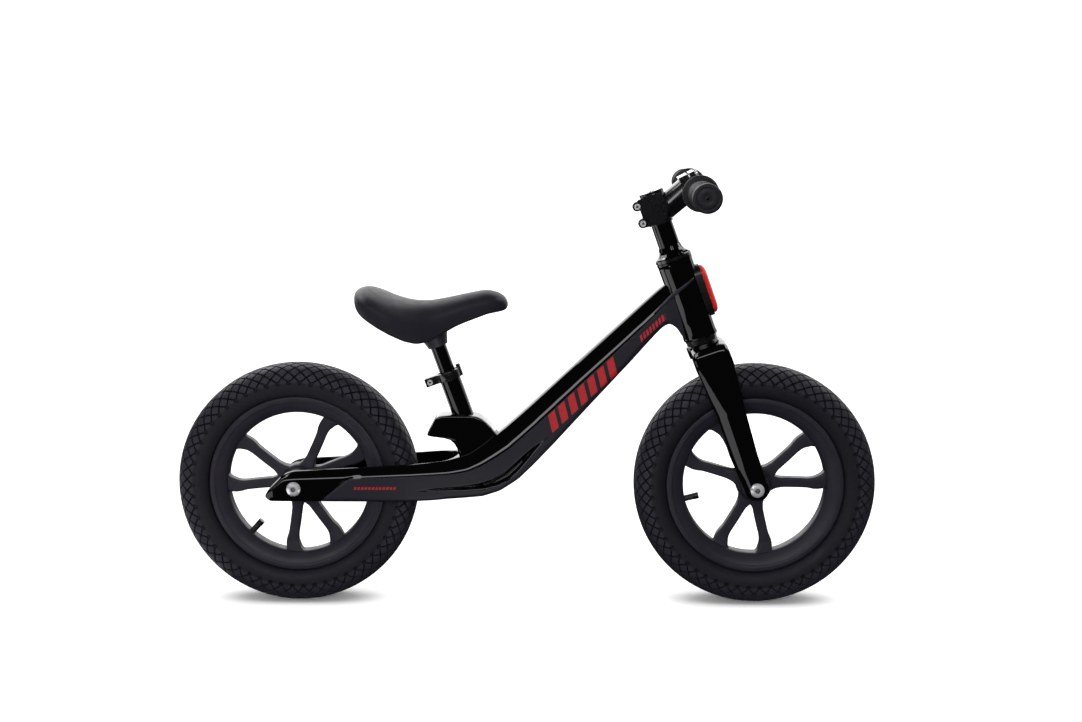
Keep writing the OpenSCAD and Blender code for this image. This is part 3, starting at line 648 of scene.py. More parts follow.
def frame_half(side):
    """One side of the casting, from the rear tip to the head tube: a rounded five-cornered
    section at each station. Its inner wall lies on the middle plane ahead of the wheel slot,
    which has a round end. The scoop dips in by a smooth step and the groove by a bell curve."""
    rows = smooth_rows(stations, station_count, 11)
    top = rows[:, 0:2]
    low = rows[:, 2:4]
    height = np.linalg.norm(top - low, axis=1)
    up = (top - low) / height[:, None]
    outer, bevel_w, bevel_d = rows[:, 4], rows[:, 5], rows[:, 6]
    ahead = np.clip(low[:, 0] - slot_centre_x, 0, slot_half)
    inner = np.sqrt(np.maximum(slot_half ** 2 - ahead ** 2, 0))
    inner = np.where(low[:, 0] < slot_centre_x, slot_half, inner)
    zero = np.zeros(len(rows))
    corners = np.stack([
        np.stack([inner, height], -1), np.stack([outer - bevel_w, height - top_fall], -1),
        np.stack([outer, height - bevel_d], -1), np.stack([outer - side_lean, zero], -1),
        np.stack([inner, zero], -1)], 1)
    edge_in = np.clip(inner / 12, 0, 1) * inner_edge_r
    radii = np.stack([edge_in, zero + upper_edge_r, zero + side_edge_r, zero + lower_edge_r,
                      edge_in], 1)
    section = rounded_section(corners, radii, (3, 7, 30, 7, 5))
    y, w = section[..., 0], section[..., 1]
    x = low[:, None, 0] + up[:, None, 0] * w
    z = low[:, None, 1] + up[:, None, 1] * w
    on_side = np.clip((y - inner[:, None] - 3) / 3, 0, 1)
    deep = np.clip(inside_distance(x, z, scoop) / scoop_depth, 0, 1)
    dip = scoop_depth * deep * deep * (3 - 2 * deep)
    from_groove = line_distance(x, z, panel_groove) / panel_groove_w
    groove = panel_groove_depth * np.exp(-from_groove ** 2)
    y = y - (dip + groove) * on_side
    return np.stack([x, side * y, z], -1)


def frame_body_mesh(name):
    """Both halves as one shell: the faces on the middle plane go, and the seam is welded. Faces
    of the flat side and of the rounded edge below it are marked for the panel paint."""
    bm = bmesh.new()
    for side in (-1, 1):
        grid = frame_half(side)
        half = surface(f"{name}_half", grid, caps=True)
        rows, cols = grid.shape[:2]
        column = np.arange((rows - 1) * cols) % cols
        marked = np.zeros(len(half.polygons), np.int32)
        marked[:len(column)] = (column >= panel_columns[0]) & (column < panel_columns[1])
        half.polygons.foreach_set("material_index", marked)
        bm.from_mesh(half)
    middle = [f for f in bm.faces if all(abs(v.co.y) < 1e-6 for v in f.verts)]
    bmesh.ops.delete(bm, geom=middle, context="FACES")
    bmesh.ops.remove_doubles(bm, verts=bm.verts, dist=2e-6)
    bmesh.ops.recalc_face_normals(bm, faces=bm.faces)
    mesh = bpy.data.meshes.new(name)
    bm.to_mesh(mesh)
    bm.free()
    return mesh


# The steering axis: a point on it, its direction, and the way forward at right angles to it
joints = {j["name"]: j for j in frame["joints"]}
head_point = np.array(joints["steering"]["pos_m"]) / MM
head_up = np.array(joints["steering"]["axis"])
head_fore = np.array([head_up[2], 0, -head_up[0]])


def tilted(points):
    """Points given as [forward, side, up] along the steering axis, in the bike's frame."""
    points = np.asarray(points, float)
    return (head_point + points[..., 0:1] * head_fore + points[..., 1:2] * np.array([0, 1, 0])
            + points[..., 2:3] * head_up)


def turned(name, profile):
    """A closed [radius, height] profile turned about the steering axis."""
    a = np.arange(96) * 2 * np.pi / 96
    grid = np.stack([profile[None, :, 0] * np.cos(a)[:, None],
                     profile[None, :, 0] * np.sin(a)[:, None],
                     profile[None, :, 1] + 0 * a[:, None]], -1)
    return surface(name, tilted(grid), close_u=True, close_v=True)


head_profile = np.array([
    [18.9, 0.0], [22.4, 0.0], [23.0, -0.6], [23.1, -3.5], [22.7, -4.6], [22.6, -10], [22.2, -40],
    [21.7, -80], [21.6, -96], [21.9, -99.5], [22.2, -101], [22.2, -103], [21.6, -104.0],
    [18.9, -104.0]])

# The rib's middle line: share of its length, forward and up from the steering axis's point
rib_line = np.array([[0, -50.0, -56.5], [0.2, -37.0, -50.6], [0.38, -25.5, -45.2],
                     [0.6, -10.0, -38.0], [1, 16.5, -28.2]])
rib_tube_r = 22.35
rib_height = 1.9
rib_root = 1.0


def rib_mesh(name, side):
    """The raised rib: a tapering half-round bar from the top corner of the side panel up and
    forward over the head tube. Its middle line is straight in side view; sideways it lies on
    the panel, then on the round of the tube."""
    t = np.linspace(0, 1, 64)
    fore = np.interp(t, rib_line[:, 0], rib_line[:, 1])
    height = np.interp(t, rib_line[:, 0], rib_line[:, 2])
    on_panel = np.interp(t, [0, 0.38], [17.2, 15.8])
    on_tube = np.sqrt(np.maximum(rib_tube_r ** 2 - fore ** 2, 0.0))
    lines = (fore, height, np.maximum(on_panel, on_tube))
    fore, height, seat = (softened(line, 11) for line in lines)
    taper = np.clip(np.minimum(t / 0.3, (1 - t) / 0.06), 0.05, 1) ** 0.5
    half_h = np.interp(t, [0, 0.4, 1], [1.6, 2.6, 1.7]) * taper
    proud = rib_height * taper
    loop = rounded_box_loop(24, 2.4)
    reach = (proud + rib_root)[:, None] * (0.5 + 0.5 * loop[None, :, 0])
    side_way = seat[:, None] - rib_root + reach
    grid = np.stack([fore[:, None] - 0.2 * half_h[:, None] * loop[None, :, 1], side * side_way,
                     height[:, None] + half_h[:, None] * loop[None, :, 1]], -1)
    return surface(name, tilted(grid), caps=True)


# The seat lug's level slices: height, back x, front x, half width
lug_rows = np.array([
    [170.0, -83.0, -40.0, 17.0], [188.0, -84.5, -37.0, 18.0], [198.0, -87.0, -35.5, 18.0],
    [205.0, -91.0, -35.0, 18.0], [209.5, -96.5, -35.0, 18.0], [211.6, -104.0, -35.2, 18.0],
    [213.0, -114.0, -35.4, 18.0], [214.0, -123.0, -35.8, 17.8], [215.4, -125.0, -36.6, 17.8],
    [218.0, -124.6, -37.8, 17.8], [226.0, -120.4, -43.6, 17.8], [232.0, -117.2, -49.4, 17.8],
    [236.6, -114.6, -54.8, 17.6], [239.0, -112.0, -59.6, 17.4], [240.4, -107.0, -64.5, 16.8],
    [241.0, -100.0, -71.0, 15.4]])


def lug_mesh(name):
    """The seat lug: level rounded slices whose front and back follow its side outline. A short
    shelf reaches back over the wheel."""
    z = np.concatenate([np.linspace(170, 208, 20), np.linspace(208.6, 218, 16),
                        np.linspace(219, 241, 26)])
    back, front, half = (np.interp(z, lug_rows[:, 0], lug_rows[:, c]) for c in (1, 2, 3))
    loop = rounded_box_loop(112, 9.0)
    x = ((back + front) / 2)[:, None] + ((front - back) / 2)[:, None] * loop[None, :, 0]
    grid = np.stack([x, half[:, None] * loop[None, :, 1], z[:, None] + 0 * x], -1)
    return surface(name, grid, caps=True)


def math_node(tree, operation, a, b=0.0):
    """Arithmetic on two values, each a number or the output of another node."""
    node = add(tree, "ShaderNodeMath", operation=operation)
    for socket, value in zip(node.inputs, (a, b)):
        if isinstance(value, (int, float)):
            socket.default_value = value
        else:
            tree.links.new(value, socket)
    return node.outputs[0]


def gloss_black():
    """Black paint under a clear coat that is slightly wavy. All of its shine is the coat's."""
    mat, tree, shader = nodes_of("gloss_black_paint")
    noise_bump(tree, shader, 160, 0.012, 0.0004, 2)
    shader.inputs["Base Color"].default_value = (0.0010, 0.0010, 0.0012, 1)
    shader.inputs["Specular IOR Level"].default_value = 0.0
    shader.inputs["Coat Weight"].default_value = 1.0
    shader.inputs["Coat Roughness"].default_value = 0.03
    return mat


def between(tree, value, low, high):
    """1 where a value lies between two limits."""
    return math_node(tree, "MULTIPLY", math_node(tree, "GREATER_THAN", value, low),
                     math_node(tree, "LESS_THAN", value, high))


# Red speed marks on the panels: direction in degrees, middle (along, across), half length and
# half height in millimetres, the slant of a bar as a slope, the pitch of the bars in
# millimetres, and the share of a pitch that is painted
red_marks = [
    (42.8, (238.5, 149.0), 58.0, 10.0, 0.55, 16.6, 0.66),
    (42.8, (357.5, 151.5), 21.0, 3.6, 0.55, 5.2, 0.60),
    (0.0, (-187.0, 154.2), 27.0, 1.7, 0.30, 4.5, 0.62)]


def weighted(tree, a, share_a, b, share_b):
    """Two values, each times its share, added."""
    return math_node(tree, "ADD", math_node(tree, "MULTIPLY", a, share_a),
                     math_node(tree, "MULTIPLY", b, share_b))


def speed_mark(tree, x, z, turn, middle, half_l, half_h, slant, pitch, filled):
    """1 on the bars of one mark and 0 elsewhere, from the distance along and across the tube
    in side view. The distance along is sheared by the slant and repeats with the pitch."""
    c = math.cos(math.radians(turn)) / MM
    s = math.sin(math.radians(turn)) / MM
    over = math_node(tree, "SUBTRACT", weighted(tree, z, c, x, -s), middle[1])
    along = weighted(tree, weighted(tree, x, c, z, s), 1, over, -slant)
    along = math_node(tree, "SUBTRACT", along, middle[0] - half_l)
    phase = math_node(tree, "FRACT", math_node(tree, "DIVIDE", along, pitch))
    bars = math_node(tree, "MULTIPLY", math_node(tree, "LESS_THAN", phase, filled),
                     between(tree, along, 0, 2 * half_l))
    return math_node(tree, "MULTIPLY", bars, between(tree, over, -half_h, half_h))


def panel_paint():
    """Satin charcoal paint of the side panels, with the red marks on it."""
    mat, tree, shader = nodes_of("satin_panel_paint")
    coord = noise_bump(tree, shader, 1500, 0.12, 0.0002, 2)
    split = add(tree, "ShaderNodeSeparateXYZ")
    tree.links.new(coord.outputs["Object"], split.inputs["Vector"])
    marked = 0.0
    for mark in red_marks:
        mark_share = speed_mark(tree, split.outputs["X"], split.outputs["Z"], *mark)
        marked = math_node(tree, "ADD", marked, mark_share)
    paint = mix_colours(tree, marked, (0.0095, 0.0084, 0.0142), (0.36, 0.006, 0.010))
    tree.links.new(paint, shader.inputs["Base Color"])
    shader.inputs["Roughness"].default_value = 0.42
    shader.inputs["Specular IOR Level"].default_value = 0.36
    return mat


gloss = gloss_black()
satin_panel = panel_paint()


def paint_frame(mesh):
    """Marked faces ahead of the panel groove keep the panel paint. The rear tip, behind the
    groove, and the scoop are gloss."""
    count = len(mesh.polygons)
    centre = np.empty(count * 3)
    mesh.polygons.foreach_get("center", centre)
    centre = centre.reshape(-1, 3) / MM
    marked = np.empty(count, np.int32)
    mesh.polygons.foreach_get("material_index", marked)
    edge = np.interp(centre[:, 0], panel_groove[:, 0], panel_groove[:, 1])
    behind = (centre[:, 0] < panel_groove[-1, 0] + 3) & (centre[:, 2] > edge)
    scooped = inside_distance(centre[:, 0], centre[:, 2], scoop) > 0
    ahead = centre[:, 0] > panel_groove[0, 0]
    panel = (marked == 1) & ahead & ~behind & ~scooped
    mesh.polygons.foreach_set("material_index", panel.astype(np.int32))
    return mesh


# The seat axis, and the radius and the lower and upper height of the socket for the seat tube
socket_r = 13.3
socket_heights = (156.0, 326.0)
seat_point = middle_of("seat_tube")
seat_up = np.array(joints["seat_height"]["axis"])
seat_fore = np.array([seat_up[2], 0, -seat_up[0]])


def bored(mesh):
    """Cuts the seat tube's socket, a round hole along the seat axis."""
    a = np.arange(64) * 2 * np.pi / 64
    ring = socket_r * (np.cos(a)[:, None] * seat_fore + np.sin(a)[:, None] * np.array([0, 1, 0]))
    ends = [(height - seat_point[2]) / seat_up[2] for height in socket_heights]
    grid = np.stack([seat_point + h * seat_up + ring for h in ends])
    cutter = new_object("bore", tidy_shell(surface("bore", grid, caps=True)))
    solid = new_object("solid", mesh)
    cut = solid.modifiers.new("bore", "BOOLEAN")
    cut.object = cutter
    cut.solver = "EXACT"
    graph = bpy.context.evaluated_depsgraph_get()
    result = bpy.data.meshes.new_from_object(solid.evaluated_get(graph))
    bpy.data.objects.remove(solid)
    bpy.data.objects.remove(cutter)
    return result


frame_body = paint_frame(frame_body_mesh("frame_body"))
frame_body.materials.append(gloss)
frame_body.materials.append(satin_panel)
lug = tidy_shell(lug_mesh("seat_lug"))
lug.materials.append(gloss)
head_tube = turned("head_tube", head_profile)
frame_mesh = join_meshes("frame_casting", [bored(frame_body), bored(lug), head_tube])
tidy_shell(frame_mesh, 38)
frame_mesh.materials.append(gloss)
frame_mesh.materials.append(satin_panel)
frame_casting = new_object("frame_casting", frame_mesh)
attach(frame_casting, "frame")
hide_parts("frame")

rib_set = new_object("head_tube_ribs", tidy_shell(
    join_meshes("head_tube_ribs", [rib_mesh("rib", side) for side in (-1, 1)]), 50))
rib_set.data.materials.append(satin_panel)
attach(rib_set, "frame")

# ---- fork --------------------------------------------------------------------------------
# One light-alloy casting: two flat blades that join in an arched crown, gloss black.

# Half of the arch from a blade's tip to the middle of the crown: the inner edge (side, up) and
# the outer edge (side, up), measured along the steering axis.
arch = np.array([
    [36.5, -318.6, 43.5, -318.6], [34.9, -317.4, 45.2, -317.4], [34.5, -314, 45.5, -314],
    [34.5, -290, 45.5, -290], [34.5, -240, 47.0, -240], [34.5, -195, 48.4, -195],
    [34.4, -168, 48.4, -146], [33.6, -154, 48.4, -128], [31.0, -146, 47.2, -119.6],
    [26.5, -140.6, 41.0, -114.4], [18.0, -137.8, 24.0, -111.6], [8.0, -137, 9.0, -110.6],
    [0.0, -137, 0.0, -110.5]])
blade_back = np.array([[-330, -11], [-300, -12.3], [-290, -12.9], [-272, -14.4], [-202, -14.4],
                       [-181, -16.5], [-146, -19.0], [-110, -19.6]])
blade_front = np.array([[-330, 17.7], [-304, 17.7], [-262, 17.6], [-207, 21.0], [-150, 27.2],
                        [-122, 26.6], [-110, 24.5]])
axle_local = np.array([2.73, -303.8])
dropout_r = 15.0

# The flat cut along each blade's rear outer edge, at heights up the blade: how deep, how wide
facet_depth = np.array([[-330, 5.0], [-290, 5.0], [-200, 5.0], [-158, 3.0], [-146, 0.0]])
facet_width = np.array([[-290, 9.0], [-200, 13.0], [-150, 6.0]])


def fork_mesh(name):
    """The arch's section is a rounded box: its width is the gap between the inner and outer
    edges, its depth the blade's side view, which ends in a round dropout about the axle."""
    length = np.append(0, np.cumsum(np.hypot(np.diff(arch[:, 2]), np.diff(arch[:, 3]))))
    even = np.concatenate([np.linspace(0, 12, 14)[:-1], np.linspace(12, length[-1], 240)])
    half = np.stack([np.interp(even, length, arch[:, c]) for c in range(4)], -1)
    whole = np.vstack([half, half[::-1][1:] * [-1, 1, -1, 1]])
    soft = np.stack([softened(column, 7) for column in whole.T], -1)
    soft[:6], soft[-6:] = whole[:6], whole[-6:]
    mid = (soft[:, 0:2] + soft[:, 2:4]) / 2
    reach = (soft[:, 2:4] - soft[:, 0:2]) / 2
    s = mid[:, 1]
    back = np.interp(s, blade_back[:, 0], blade_back[:, 1])
    front = np.interp(s, blade_front[:, 0], blade_front[:, 1])
    below = np.clip(axle_local[1] - s, 0, dropout_r - 0.15)
    round_half = np.sqrt(dropout_r ** 2 - below ** 2)
    end = s < axle_local[1]
    back = np.where(end, axle_local[0] - round_half, back)
    front = np.where(end, axle_local[0] + round_half, front)
    loop = rounded_box_loop(88, 4.6)
    fore = ((front + back) / 2)[:, None] + ((front - back) / 2)[:, None] * loop[None, :, 0]
    facet = np.interp(s, *facet_depth.T)
    facet_w = np.interp(s, *facet_width.T)
    cut = facet[:, None] * np.clip(1 - (fore - back[:, None]) / facet_w[:, None], 0, 1)
    cut = cut * np.clip(0.5 + loop[None, :, 1] * 3, 0, 1)
    outward = (soft[:, 2:4] - soft[:, 0:2]) / (2 * np.linalg.norm(reach, axis=1)[:, None])
    side = mid[:, None, 0] + reach[:, None, 0] * loop[None, :, 1] - cut * outward[:, None, 0]
    height = mid[:, None, 1] + reach[:, None, 1] * loop[None, :, 1] - cut * outward[:, None, 1]
    return surface(name, tilted(np.stack([fore, side, height], -1)), caps=True)


crown_profile = np.array([[13.0, -110.5], [20.6, -110.5], [22.0, -111.6], [22.4, -114],
                          [22.0, -126], [13.0, -126]])
fork_shell = tidy_shell(join_meshes("fork_casting", [
    fork_mesh("fork_arch"), turned("crown_boss", crown_profile)]), 40)
fork_shell.materials.append(gloss)
fork_casting = new_object("fork_casting", fork_shell)
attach(fork_casting, "fork")
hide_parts("fork")

# ---- saddle ------------------------------------------------------------------------------
# A moulded foam pad with a tough grained skin, without seams. It is wide and dished at the
# back and narrows to a round nose; its skirt closes round a plastic pan.

# x, top at the middle, lower edge of the skirt, half width
saddle_rows = np.array([
    [-215.4, 391.8, 390.8, 0.5], [-215.0, 395.2, 386.2, 14.0], [-213.8, 397.8, 382.4, 25.0],
    [-211.2, 400.0, 378.6, 36.0], [-207.0, 401.8, 374.4, 47.0], [-202.0, 402.6, 370.6, 55.0],
    [-195.0, 402.2, 366.0, 60.5], [-183.0, 398.8, 358.2, 63.3], [-168.0, 392.4, 349.2, 61.5],
    [-150.0, 387.2, 340.0, 55.5], [-135.0, 385.4, 335.6, 48.8], [-120.0, 385.8, 337.6, 42.2],
    [-105.0, 388.2, 345.6, 37.0], [-88.0, 391.8, 355.4, 32.8], [-70.0, 395.8, 363.0, 30.2],
    [-55.0, 398.8, 368.8, 28.6], [-45.0, 398.8, 371.6, 26.8], [-36.0, 396.6, 373.0, 23.6],
    [-30.0, 393.6, 374.0, 19.6], [-26.0, 390.2, 375.2, 14.6], [-23.6, 386.6, 376.8, 8.4],
    [-22.6, 383.0, 380.0, 0.5]])
saddle_middle_x = -119.0
saddle_half_l = 96.4
saddle_slices = 150

# The share of the height where it is widest, how far the skirt tucks in, the lip under it, and
# how far up the pocket for the pan goes
widest_share = 0.47
skirt_tuck = 7.0
lip_w = 5.0
pocket_rise = 9.0


def saddle_mesh(name):
    """Slices across the saddle, closer together toward its ends. The upper part is a
    superellipse from the crown to the widest line; the lower part tucks in to the skirt's edge
    and turns up into the pan's pocket."""
    lean = np.linspace(0, np.pi, saddle_slices)
    x = saddle_middle_x - saddle_half_l * np.cos(lean)
    rows = np.stack([np.interp(x, saddle_rows[:, 0], saddle_rows[:, c]) for c in (1, 2, 3)], -1)
    inner = np.stack([softened(column, 7) for column in rows.T], -1)
    from_end = np.minimum(np.arange(saddle_slices), np.arange(saddle_slices)[::-1])
    blend = np.clip(from_end / 8, 0, 1)[:, None]
    rows = rows * (1 - blend) + inner * blend
    top, edge, half = rows[:, 0], rows[:, 1], rows[:, 2]
    widest = edge + (top - edge) * widest_share
    a = np.linspace(0, np.pi / 2, 22)[None, :]
    upper_y = half[:, None] * np.sin(a) ** (2 / 2.15)
    upper_z = widest[:, None] + (top - widest)[:, None] * np.cos(a) ** (2 / 2.1)
    b = np.linspace(0, np.pi / 2, 12)[None, 1:]
    tuck = np.minimum(skirt_tuck, half * 0.3)[:, None]
    lower_y = half[:, None] - tuck * (1 - np.cos(b) ** 0.8)
    lower_z = widest[:, None] - (widest - edge)[:, None] * np.sin(b) ** 0.9
    lip = np.minimum(lip_w, half * 0.25)[:, None]
    rise = np.minimum(pocket_rise, (top - edge) * 0.25)[:, None]
    c = np.array([0.35, 0.7, 1.0])[None, :]
    lip_y = half[:, None] - tuck - lip * c
    lip_z = edge[:, None] + rise * c ** 2
    under = np.array([0.75, 0.5, 0.25, 0.0])[None, :]
    under_y = (half[:, None] - tuck - lip) * under
    under_z = (edge[:, None] + rise) + 0 * under
    y = np.concatenate([upper_y, lower_y, lip_y, under_y], 1)
    z = np.concatenate([upper_z, lower_z, lip_z, under_z], 1)
    y = np.concatenate([y, -y[:, ::-1][:, 1:-1]], 1)
    z = np.concatenate([z, z[:, ::-1][:, 1:-1]], 1)
    return surface(name, np.stack([x[:, None] + 0 * y, y, z], -1), caps=True)


def saddle_skin():
    """Charcoal skin with a pebbled grain: cells parted by fine creases."""
    mat, tree, shader = nodes_of("saddle_skin")
    coord = add(tree, "ShaderNodeTexCoord")
    cells = add(tree, "ShaderNodeTexVoronoi", Scale=900.0)
    cells.feature = "DISTANCE_TO_EDGE"
    tree.links.new(coord.outputs["Object"], cells.inputs["Vector"])
    emboss(tree, shader, cells.outputs["Distance"], 0.16, 0.0003)
    vary(tree, shader, "Base Color", coord, 18, (0.0122, 0.0112, 0.0168), (0.0152, 0.0142, 0.0200))
    vary(tree, shader, "Roughness", coord, 70, 0.40, 0.48)
    shader.inputs["Specular IOR Level"].default_value = 0.1
    return mat


saddle = new_object("saddle_skin", tidy_shell(saddle_mesh("saddle_skin"), 50))
saddle.data.materials.append(saddle_skin())
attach(saddle, "saddle")
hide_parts("saddle_pad")

# ---- grips -------------------------------------------------------------------------------
# Soft rubber sleeves pushed on the bar: a broad inner flange, a waisted body with raised
# bands and fine fingers between them, and a closed bulging end with a small hole.

bar_x = middle_of("handlebar")[0]
bar_z = middle_of("handlebar")[2]
grip_in, grip_out = (corner[1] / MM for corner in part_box("left_grip"))

# Where the patterned body starts and ends, from the inner and the outer end, its plain radius,
# the bands along it, the fingers round it and how far they stand up
body_start = 7
body_end = 12
body_r = 15.4
band_count = 15
finger_count = 24
finger_height = 0.75


def grip_mesh(name, side):
    """A profile turned about the bar, then raised into bands of fingers by a cosine pattern
    of the angle and the distance along the grip. The fingers of one band stand between those
    of the next."""
    body = np.linspace(grip_in + body_start, grip_out - body_end, 150)
    outline = np.array([
        [11.3, grip_in + 0.2], [20.6, grip_in], [21.8, grip_in + 0.8], [22.15, grip_in + 2.2],
        [21.9, grip_in + 3.6], [20.6, grip_in + 4.6], [17.6, grip_in + 5.2], [16.4, grip_in + 6]])
    tail = np.array([
        [15.8, grip_out - 11], [16.8, grip_out - 9.6], [17.25, grip_out - 8.6],
        [17.3, grip_out - 3], [17.1, grip_out - 1.6], [16.4, grip_out - 0.6],
        [15.2, grip_out - 0.1], [13.0, grip_out - 0.05], [12.4, grip_out - 0.5],
        [11.8, grip_out - 0.05], [4.4, grip_out - 0.05], [3.8, grip_out - 0.5],
        [3.2, grip_out - 0.1], [2.0, grip_out - 0.2], [1.65, grip_out - 0.6],
        [1.65, grip_out - 2.8], [11.3, grip_out - 2.8]])
    middle = np.stack([body_r + 0 * body, body], -1)
    profile = np.vstack([outline, middle, tail])
    a = np.arange(144) * 2 * np.pi / 144
    along = profile[None, :, 1]
    column = np.arange(len(profile)) - len(outline)
    is_body = (column >= 0) & (column < len(body))
    t = (along - grip_in - body_start) / (grip_out - grip_in - (body_start + body_end))
    bands = 0.5 + 0.5 * np.cos(2 * np.pi * t * band_count)
    fingers = 0.5 + 0.5 * np.cos(a[:, None] * finger_count + np.pi * np.floor(t * band_count))
    waist = 0.5 * np.cos(2 * np.pi * (t - 0.5)) * 0.5
    raised = np.clip(bands * 2.2 - 0.6, 0, 1) * (0.35 + 0.65 * np.clip(fingers * 3 - 0.8, 0, 1))
    lift = np.where(is_body[None, :], waist + finger_height * raised, 0)
    radius = profile[None, :, 0] + lift
    grid = np.stack([bar_x + radius * np.cos(a)[:, None], side * (along + 0 * a[:, None]),
                     bar_z + radius * np.sin(a)[:, None]], -1)
    return tidy_shell(surface(name, grid, close_u=True, close_v=True), 50)


def grip_rubber():
    """Soft black rubber, matte with a fine grain."""
    mat, tree, shader = nodes_of("grip_rubber")
    coord = noise_bump(tree, shader, 1100, 0.2, 0.0002, 3)
    vary(tree, shader, "Base Color", coord, 40, (0.0055, 0.0050, 0.0078), (0.0080, 0.0075, 0.0105))
    vary(tree, shader, "Roughness", coord, 80, 0.48, 0.6)
    shader.inputs["Specular IOR Level"].default_value = 0.3
    return mat


soft_rubber = grip_rubber()
for name, side, node in (("right_rubber_grip", -1, "right_grip"),
                         ("left_rubber_grip", 1, "left_grip")):
    grip = new_object(name, grip_mesh(name, side))
    grip.data.materials.append(soft_rubber)
    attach(grip, "handlebar")
    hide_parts(node)

# ---- badge -------------------------------------------------------------------------------
# A red domed lens in an oval black holder, both moulded plastic, stuck on the front of the head
# tube.

badge_middle = -49.0
badge_points = 72


def slot_loop(radius, half_length):
    """Points round a slot with round ends, [side, up]: a circle whose upper and lower half are
    moved apart."""
    a = np.arange(badge_points) * 2 * np.pi / badge_points
    shift = (half_length - radius) * np.clip(np.sin(a) * 6, -1, 1)
    return np.stack([radius * np.cos(a), radius * np.sin(a) + shift], -1)


def dome_mesh(name, radius, half_length, base, height, edge, rows):
    """A cushion-shaped dome over a slot outline: it rises as a quarter circle while its
    outline shrinks. edge is how far down its wall reaches."""
    t = np.linspace(0, 1, rows)[1:]
    inset = np.concatenate([[0.0, 0.0], 0.95 * t ** 1.1 * radius])
    rise = np.concatenate([[-edge, 0.0], height * np.sqrt(1 - (1 - t) ** 2)])
    grid = []
    for inwards, upwards in zip(inset, rise):
        ring = slot_loop(radius - inwards, half_length - inwards)
        fore = np.full(badge_points, base + upwards)
        grid.append(np.stack([fore, ring[:, 0], badge_middle + ring[:, 1]], -1))
    return surface(name, tilted(np.array(grid)), caps=True)


def moulded_plastic(name, colour, roughness):
    """Plastic of one colour with the fine grain of its mould."""
    mat, tree, shader = nodes_of(name)
    coord = noise_bump(tree, shader, 1300, 0.12, 0.0002, 2)
    vary(tree, shader, "Roughness", coord, 60, roughness - 0.04, roughness + 0.04)
    shader.inputs["Base Color"].default_value = (*colour, 1)
    return mat


black_plastic = moulded_plastic("black_plastic", (0.0030, 0.0030, 0.0036), 0.3)
housing_mesh = dome_mesh("badge_holder", 15.0, 34.0, 26.2, 0.8, 9.0, 6)
housing = new_object("badge_holder", tidy_shell(housing_mesh, 35))
housing.data.materials.append(black_plastic)
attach(housing, "frame")
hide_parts("badge_housing")


def lens_plastic():
    """Translucent red with fine moulded ribs under a clear gloss skin."""
    mat, tree, shader = nodes_of("red_lens")
    coord = add(tree, "ShaderNodeTexCoord")
    wave = add(tree, "ShaderNodeTexWave", Scale=170.0)
    wave.bands_direction = "Y"
    tree.links.new(coord.outputs["Object"], wave.inputs["Vector"])
    ribbed = mix_colours(tree, wave.outputs["Fac"], (0.50, 0.006, 0.005), (0.68, 0.018, 0.012))
    tree.links.new(ribbed, shader.inputs["Base Color"])
    shader.inputs["Roughness"].default_value = 0.38
    shader.inputs["Specular IOR Level"].default_value = 0.25
    shader.inputs["Subsurface Weight"].default_value = 0.25
    shader.inputs["Subsurface Scale"].default_value = 0.004
    return mat


lens_mesh = dome_mesh("badge_red_lens", 13.2, 31.6, 27.2, 6.0, 1.5, 14)
lens = new_object("badge_red_lens", tidy_shell(lens_mesh, 35))
lens.data.materials.append(lens_plastic())
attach(lens, "frame")
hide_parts("badge_lens")

# ---- parts that keep their CAD shape -------------------------------------------------------
# Tubes, bearings and bolts are plain turned parts, the stem and the seat clamp are forged, and
# the saddle's pan and the valves are moulded. The forged edges are broken by a small bevel.


def metal(name, colour, roughness, grain, metallic=1.0):
    """Plain metal with painted shade: its colour darkens down in sockets and gaps, where nearby
    surfaces close it in.
    """
    mat, tree, shader = nodes_of(name)
    open_air = add(tree, "ShaderNodeAmbientOcclusion", Distance=4.0 * MM, samples=8,
                   only_local=True)
    # Painted shade: darker where nearby surfaces are close, as in a bolt's socket
    unshaded = math_node(tree, "POWER", open_air.outputs["AO"], 2.5)
    colour_with_painted_shade = mix_colours(tree, unshaded, (0.02, 0.02, 0.022), colour)
    tree.links.new(colour_with_painted_shade, shader.inputs["Base Color"])
    coord = noise_bump(tree, shader, 700, grain, 0.0002, 3)
    vary(tree, shader, "Roughness", coord, 120, roughness - 0.05, roughness + 0.05)
    shader.inputs["Metallic"].default_value = metallic
    return mat


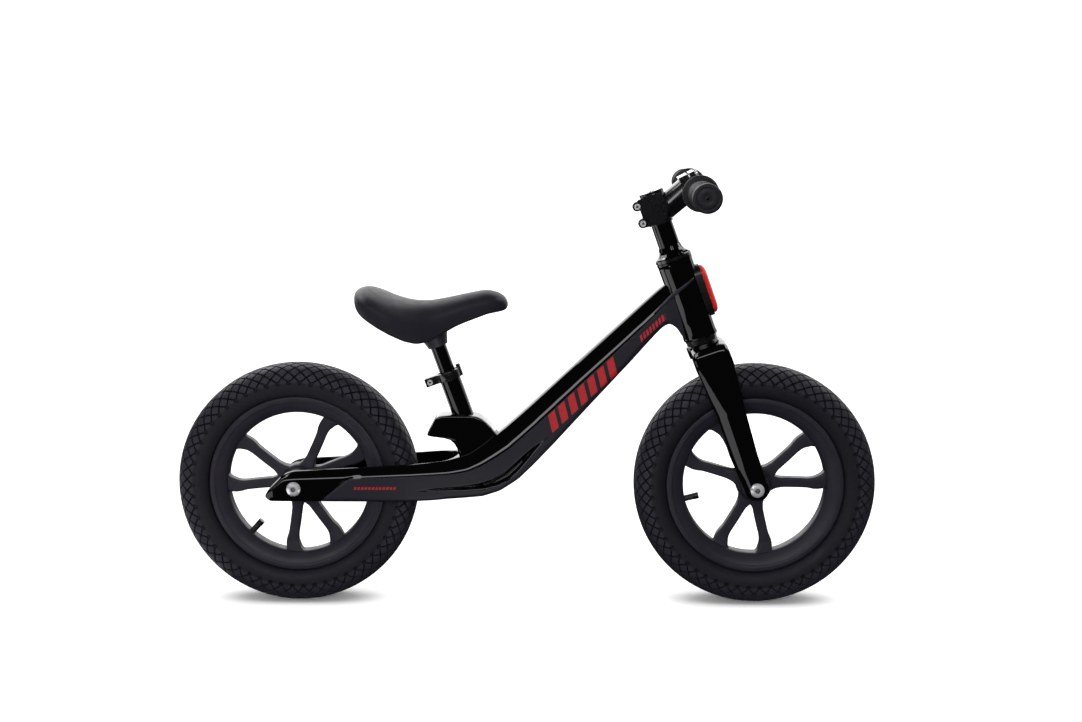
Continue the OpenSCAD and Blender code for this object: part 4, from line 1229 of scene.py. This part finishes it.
def forged_black():
    """Black paint over forged metal: soft highlights under a thin clear coat."""
    mat, tree, shader = nodes_of("forged_black_paint")
    coord = noise_bump(tree, shader, 1200, 0.05, 0.0002, 2)
    vary(tree, shader, "Roughness", coord, 70, 0.26, 0.29)
    shader.inputs["Base Color"].default_value = (0.0016, 0.0015, 0.0024, 1)
    shader.inputs["Coat Weight"].default_value = 0.8
    shader.inputs["Coat Roughness"].default_value = 0.1
    return mat


bright_steel = metal("zinc_plated_steel", (0.74, 0.74, 0.76), 0.22, 0.10, 0.6)
bearing_steel = metal("ground_steel", (0.52, 0.52, 0.54), 0.2, 0.06)
raw_alloy = metal("raw_alloy", (0.55, 0.55, 0.57), 0.35, 0.11)
forged = forged_black()
saddle_plastic = moulded_plastic("saddle_plastic", (0.0150, 0.0138, 0.0190), 0.45)
valve_rubber = moulded_plastic("valve_rubber", (0.007, 0.007, 0.0075), 0.5)

finishes = [
    (gloss, ["headset_cover", "headset_spacer", "seat_tube", "seat_post", "handlebar"]),
    (forged, ["seat_clamp", "stem", "stem_faceplate", "lower_headset_cup", "crown_race",
              "top_cap", "headset_seal"]),
    (bright_steel, ["seat_clamp_bolt", "stem_pinch_bolts", "faceplate_bolts", "top_cap_bolt",
                    "star_nut", "front_axle_bolts", "rear_axle_bolts", "front_axle", "rear_axle",
                    "front_end_spacers", "rear_end_spacers", "front_bearing_spacer",
                    "rear_bearing_spacer"]),
    (bearing_steel, ["upper_headset_bearing", "lower_headset_bearing", "front_bearing_outer_rings",
                     "front_bearing_inner_rings", "rear_bearing_outer_rings",
                     "rear_bearing_inner_rings"]),
    (raw_alloy, ["steerer_tube"]),
    (saddle_plastic, ["saddle_base"]),
    (black_plastic, ["front_valve_cap", "rear_valve_cap"]),
    (valve_rubber, ["front_valve", "rear_valve", "front_inner_tube", "rear_inner_tube"])]
for finish, names in finishes:
    for name in names:
        for material_slot in frame["nodes"][name].material_slots:
            material_slot.link = "OBJECT"
            material_slot.material = finish

# Bevel widths in millimetres
for name, width in (("stem", 1.0), ("stem_faceplate", 1.0), ("seat_clamp", 0.6)):
    node = frame["nodes"][name]
    weld = node.modifiers.new("weld", "WELD")
    weld.merge_threshold = 1e-5
    bevel = node.modifiers.new("broken_edges", "BEVEL")
    bevel.width = width * MM
    bevel.segments = 3
    bevel.limit_method = "ANGLE"
    bevel.angle_limit = math.radians(35)
    bevel.use_clamp_overlap = True
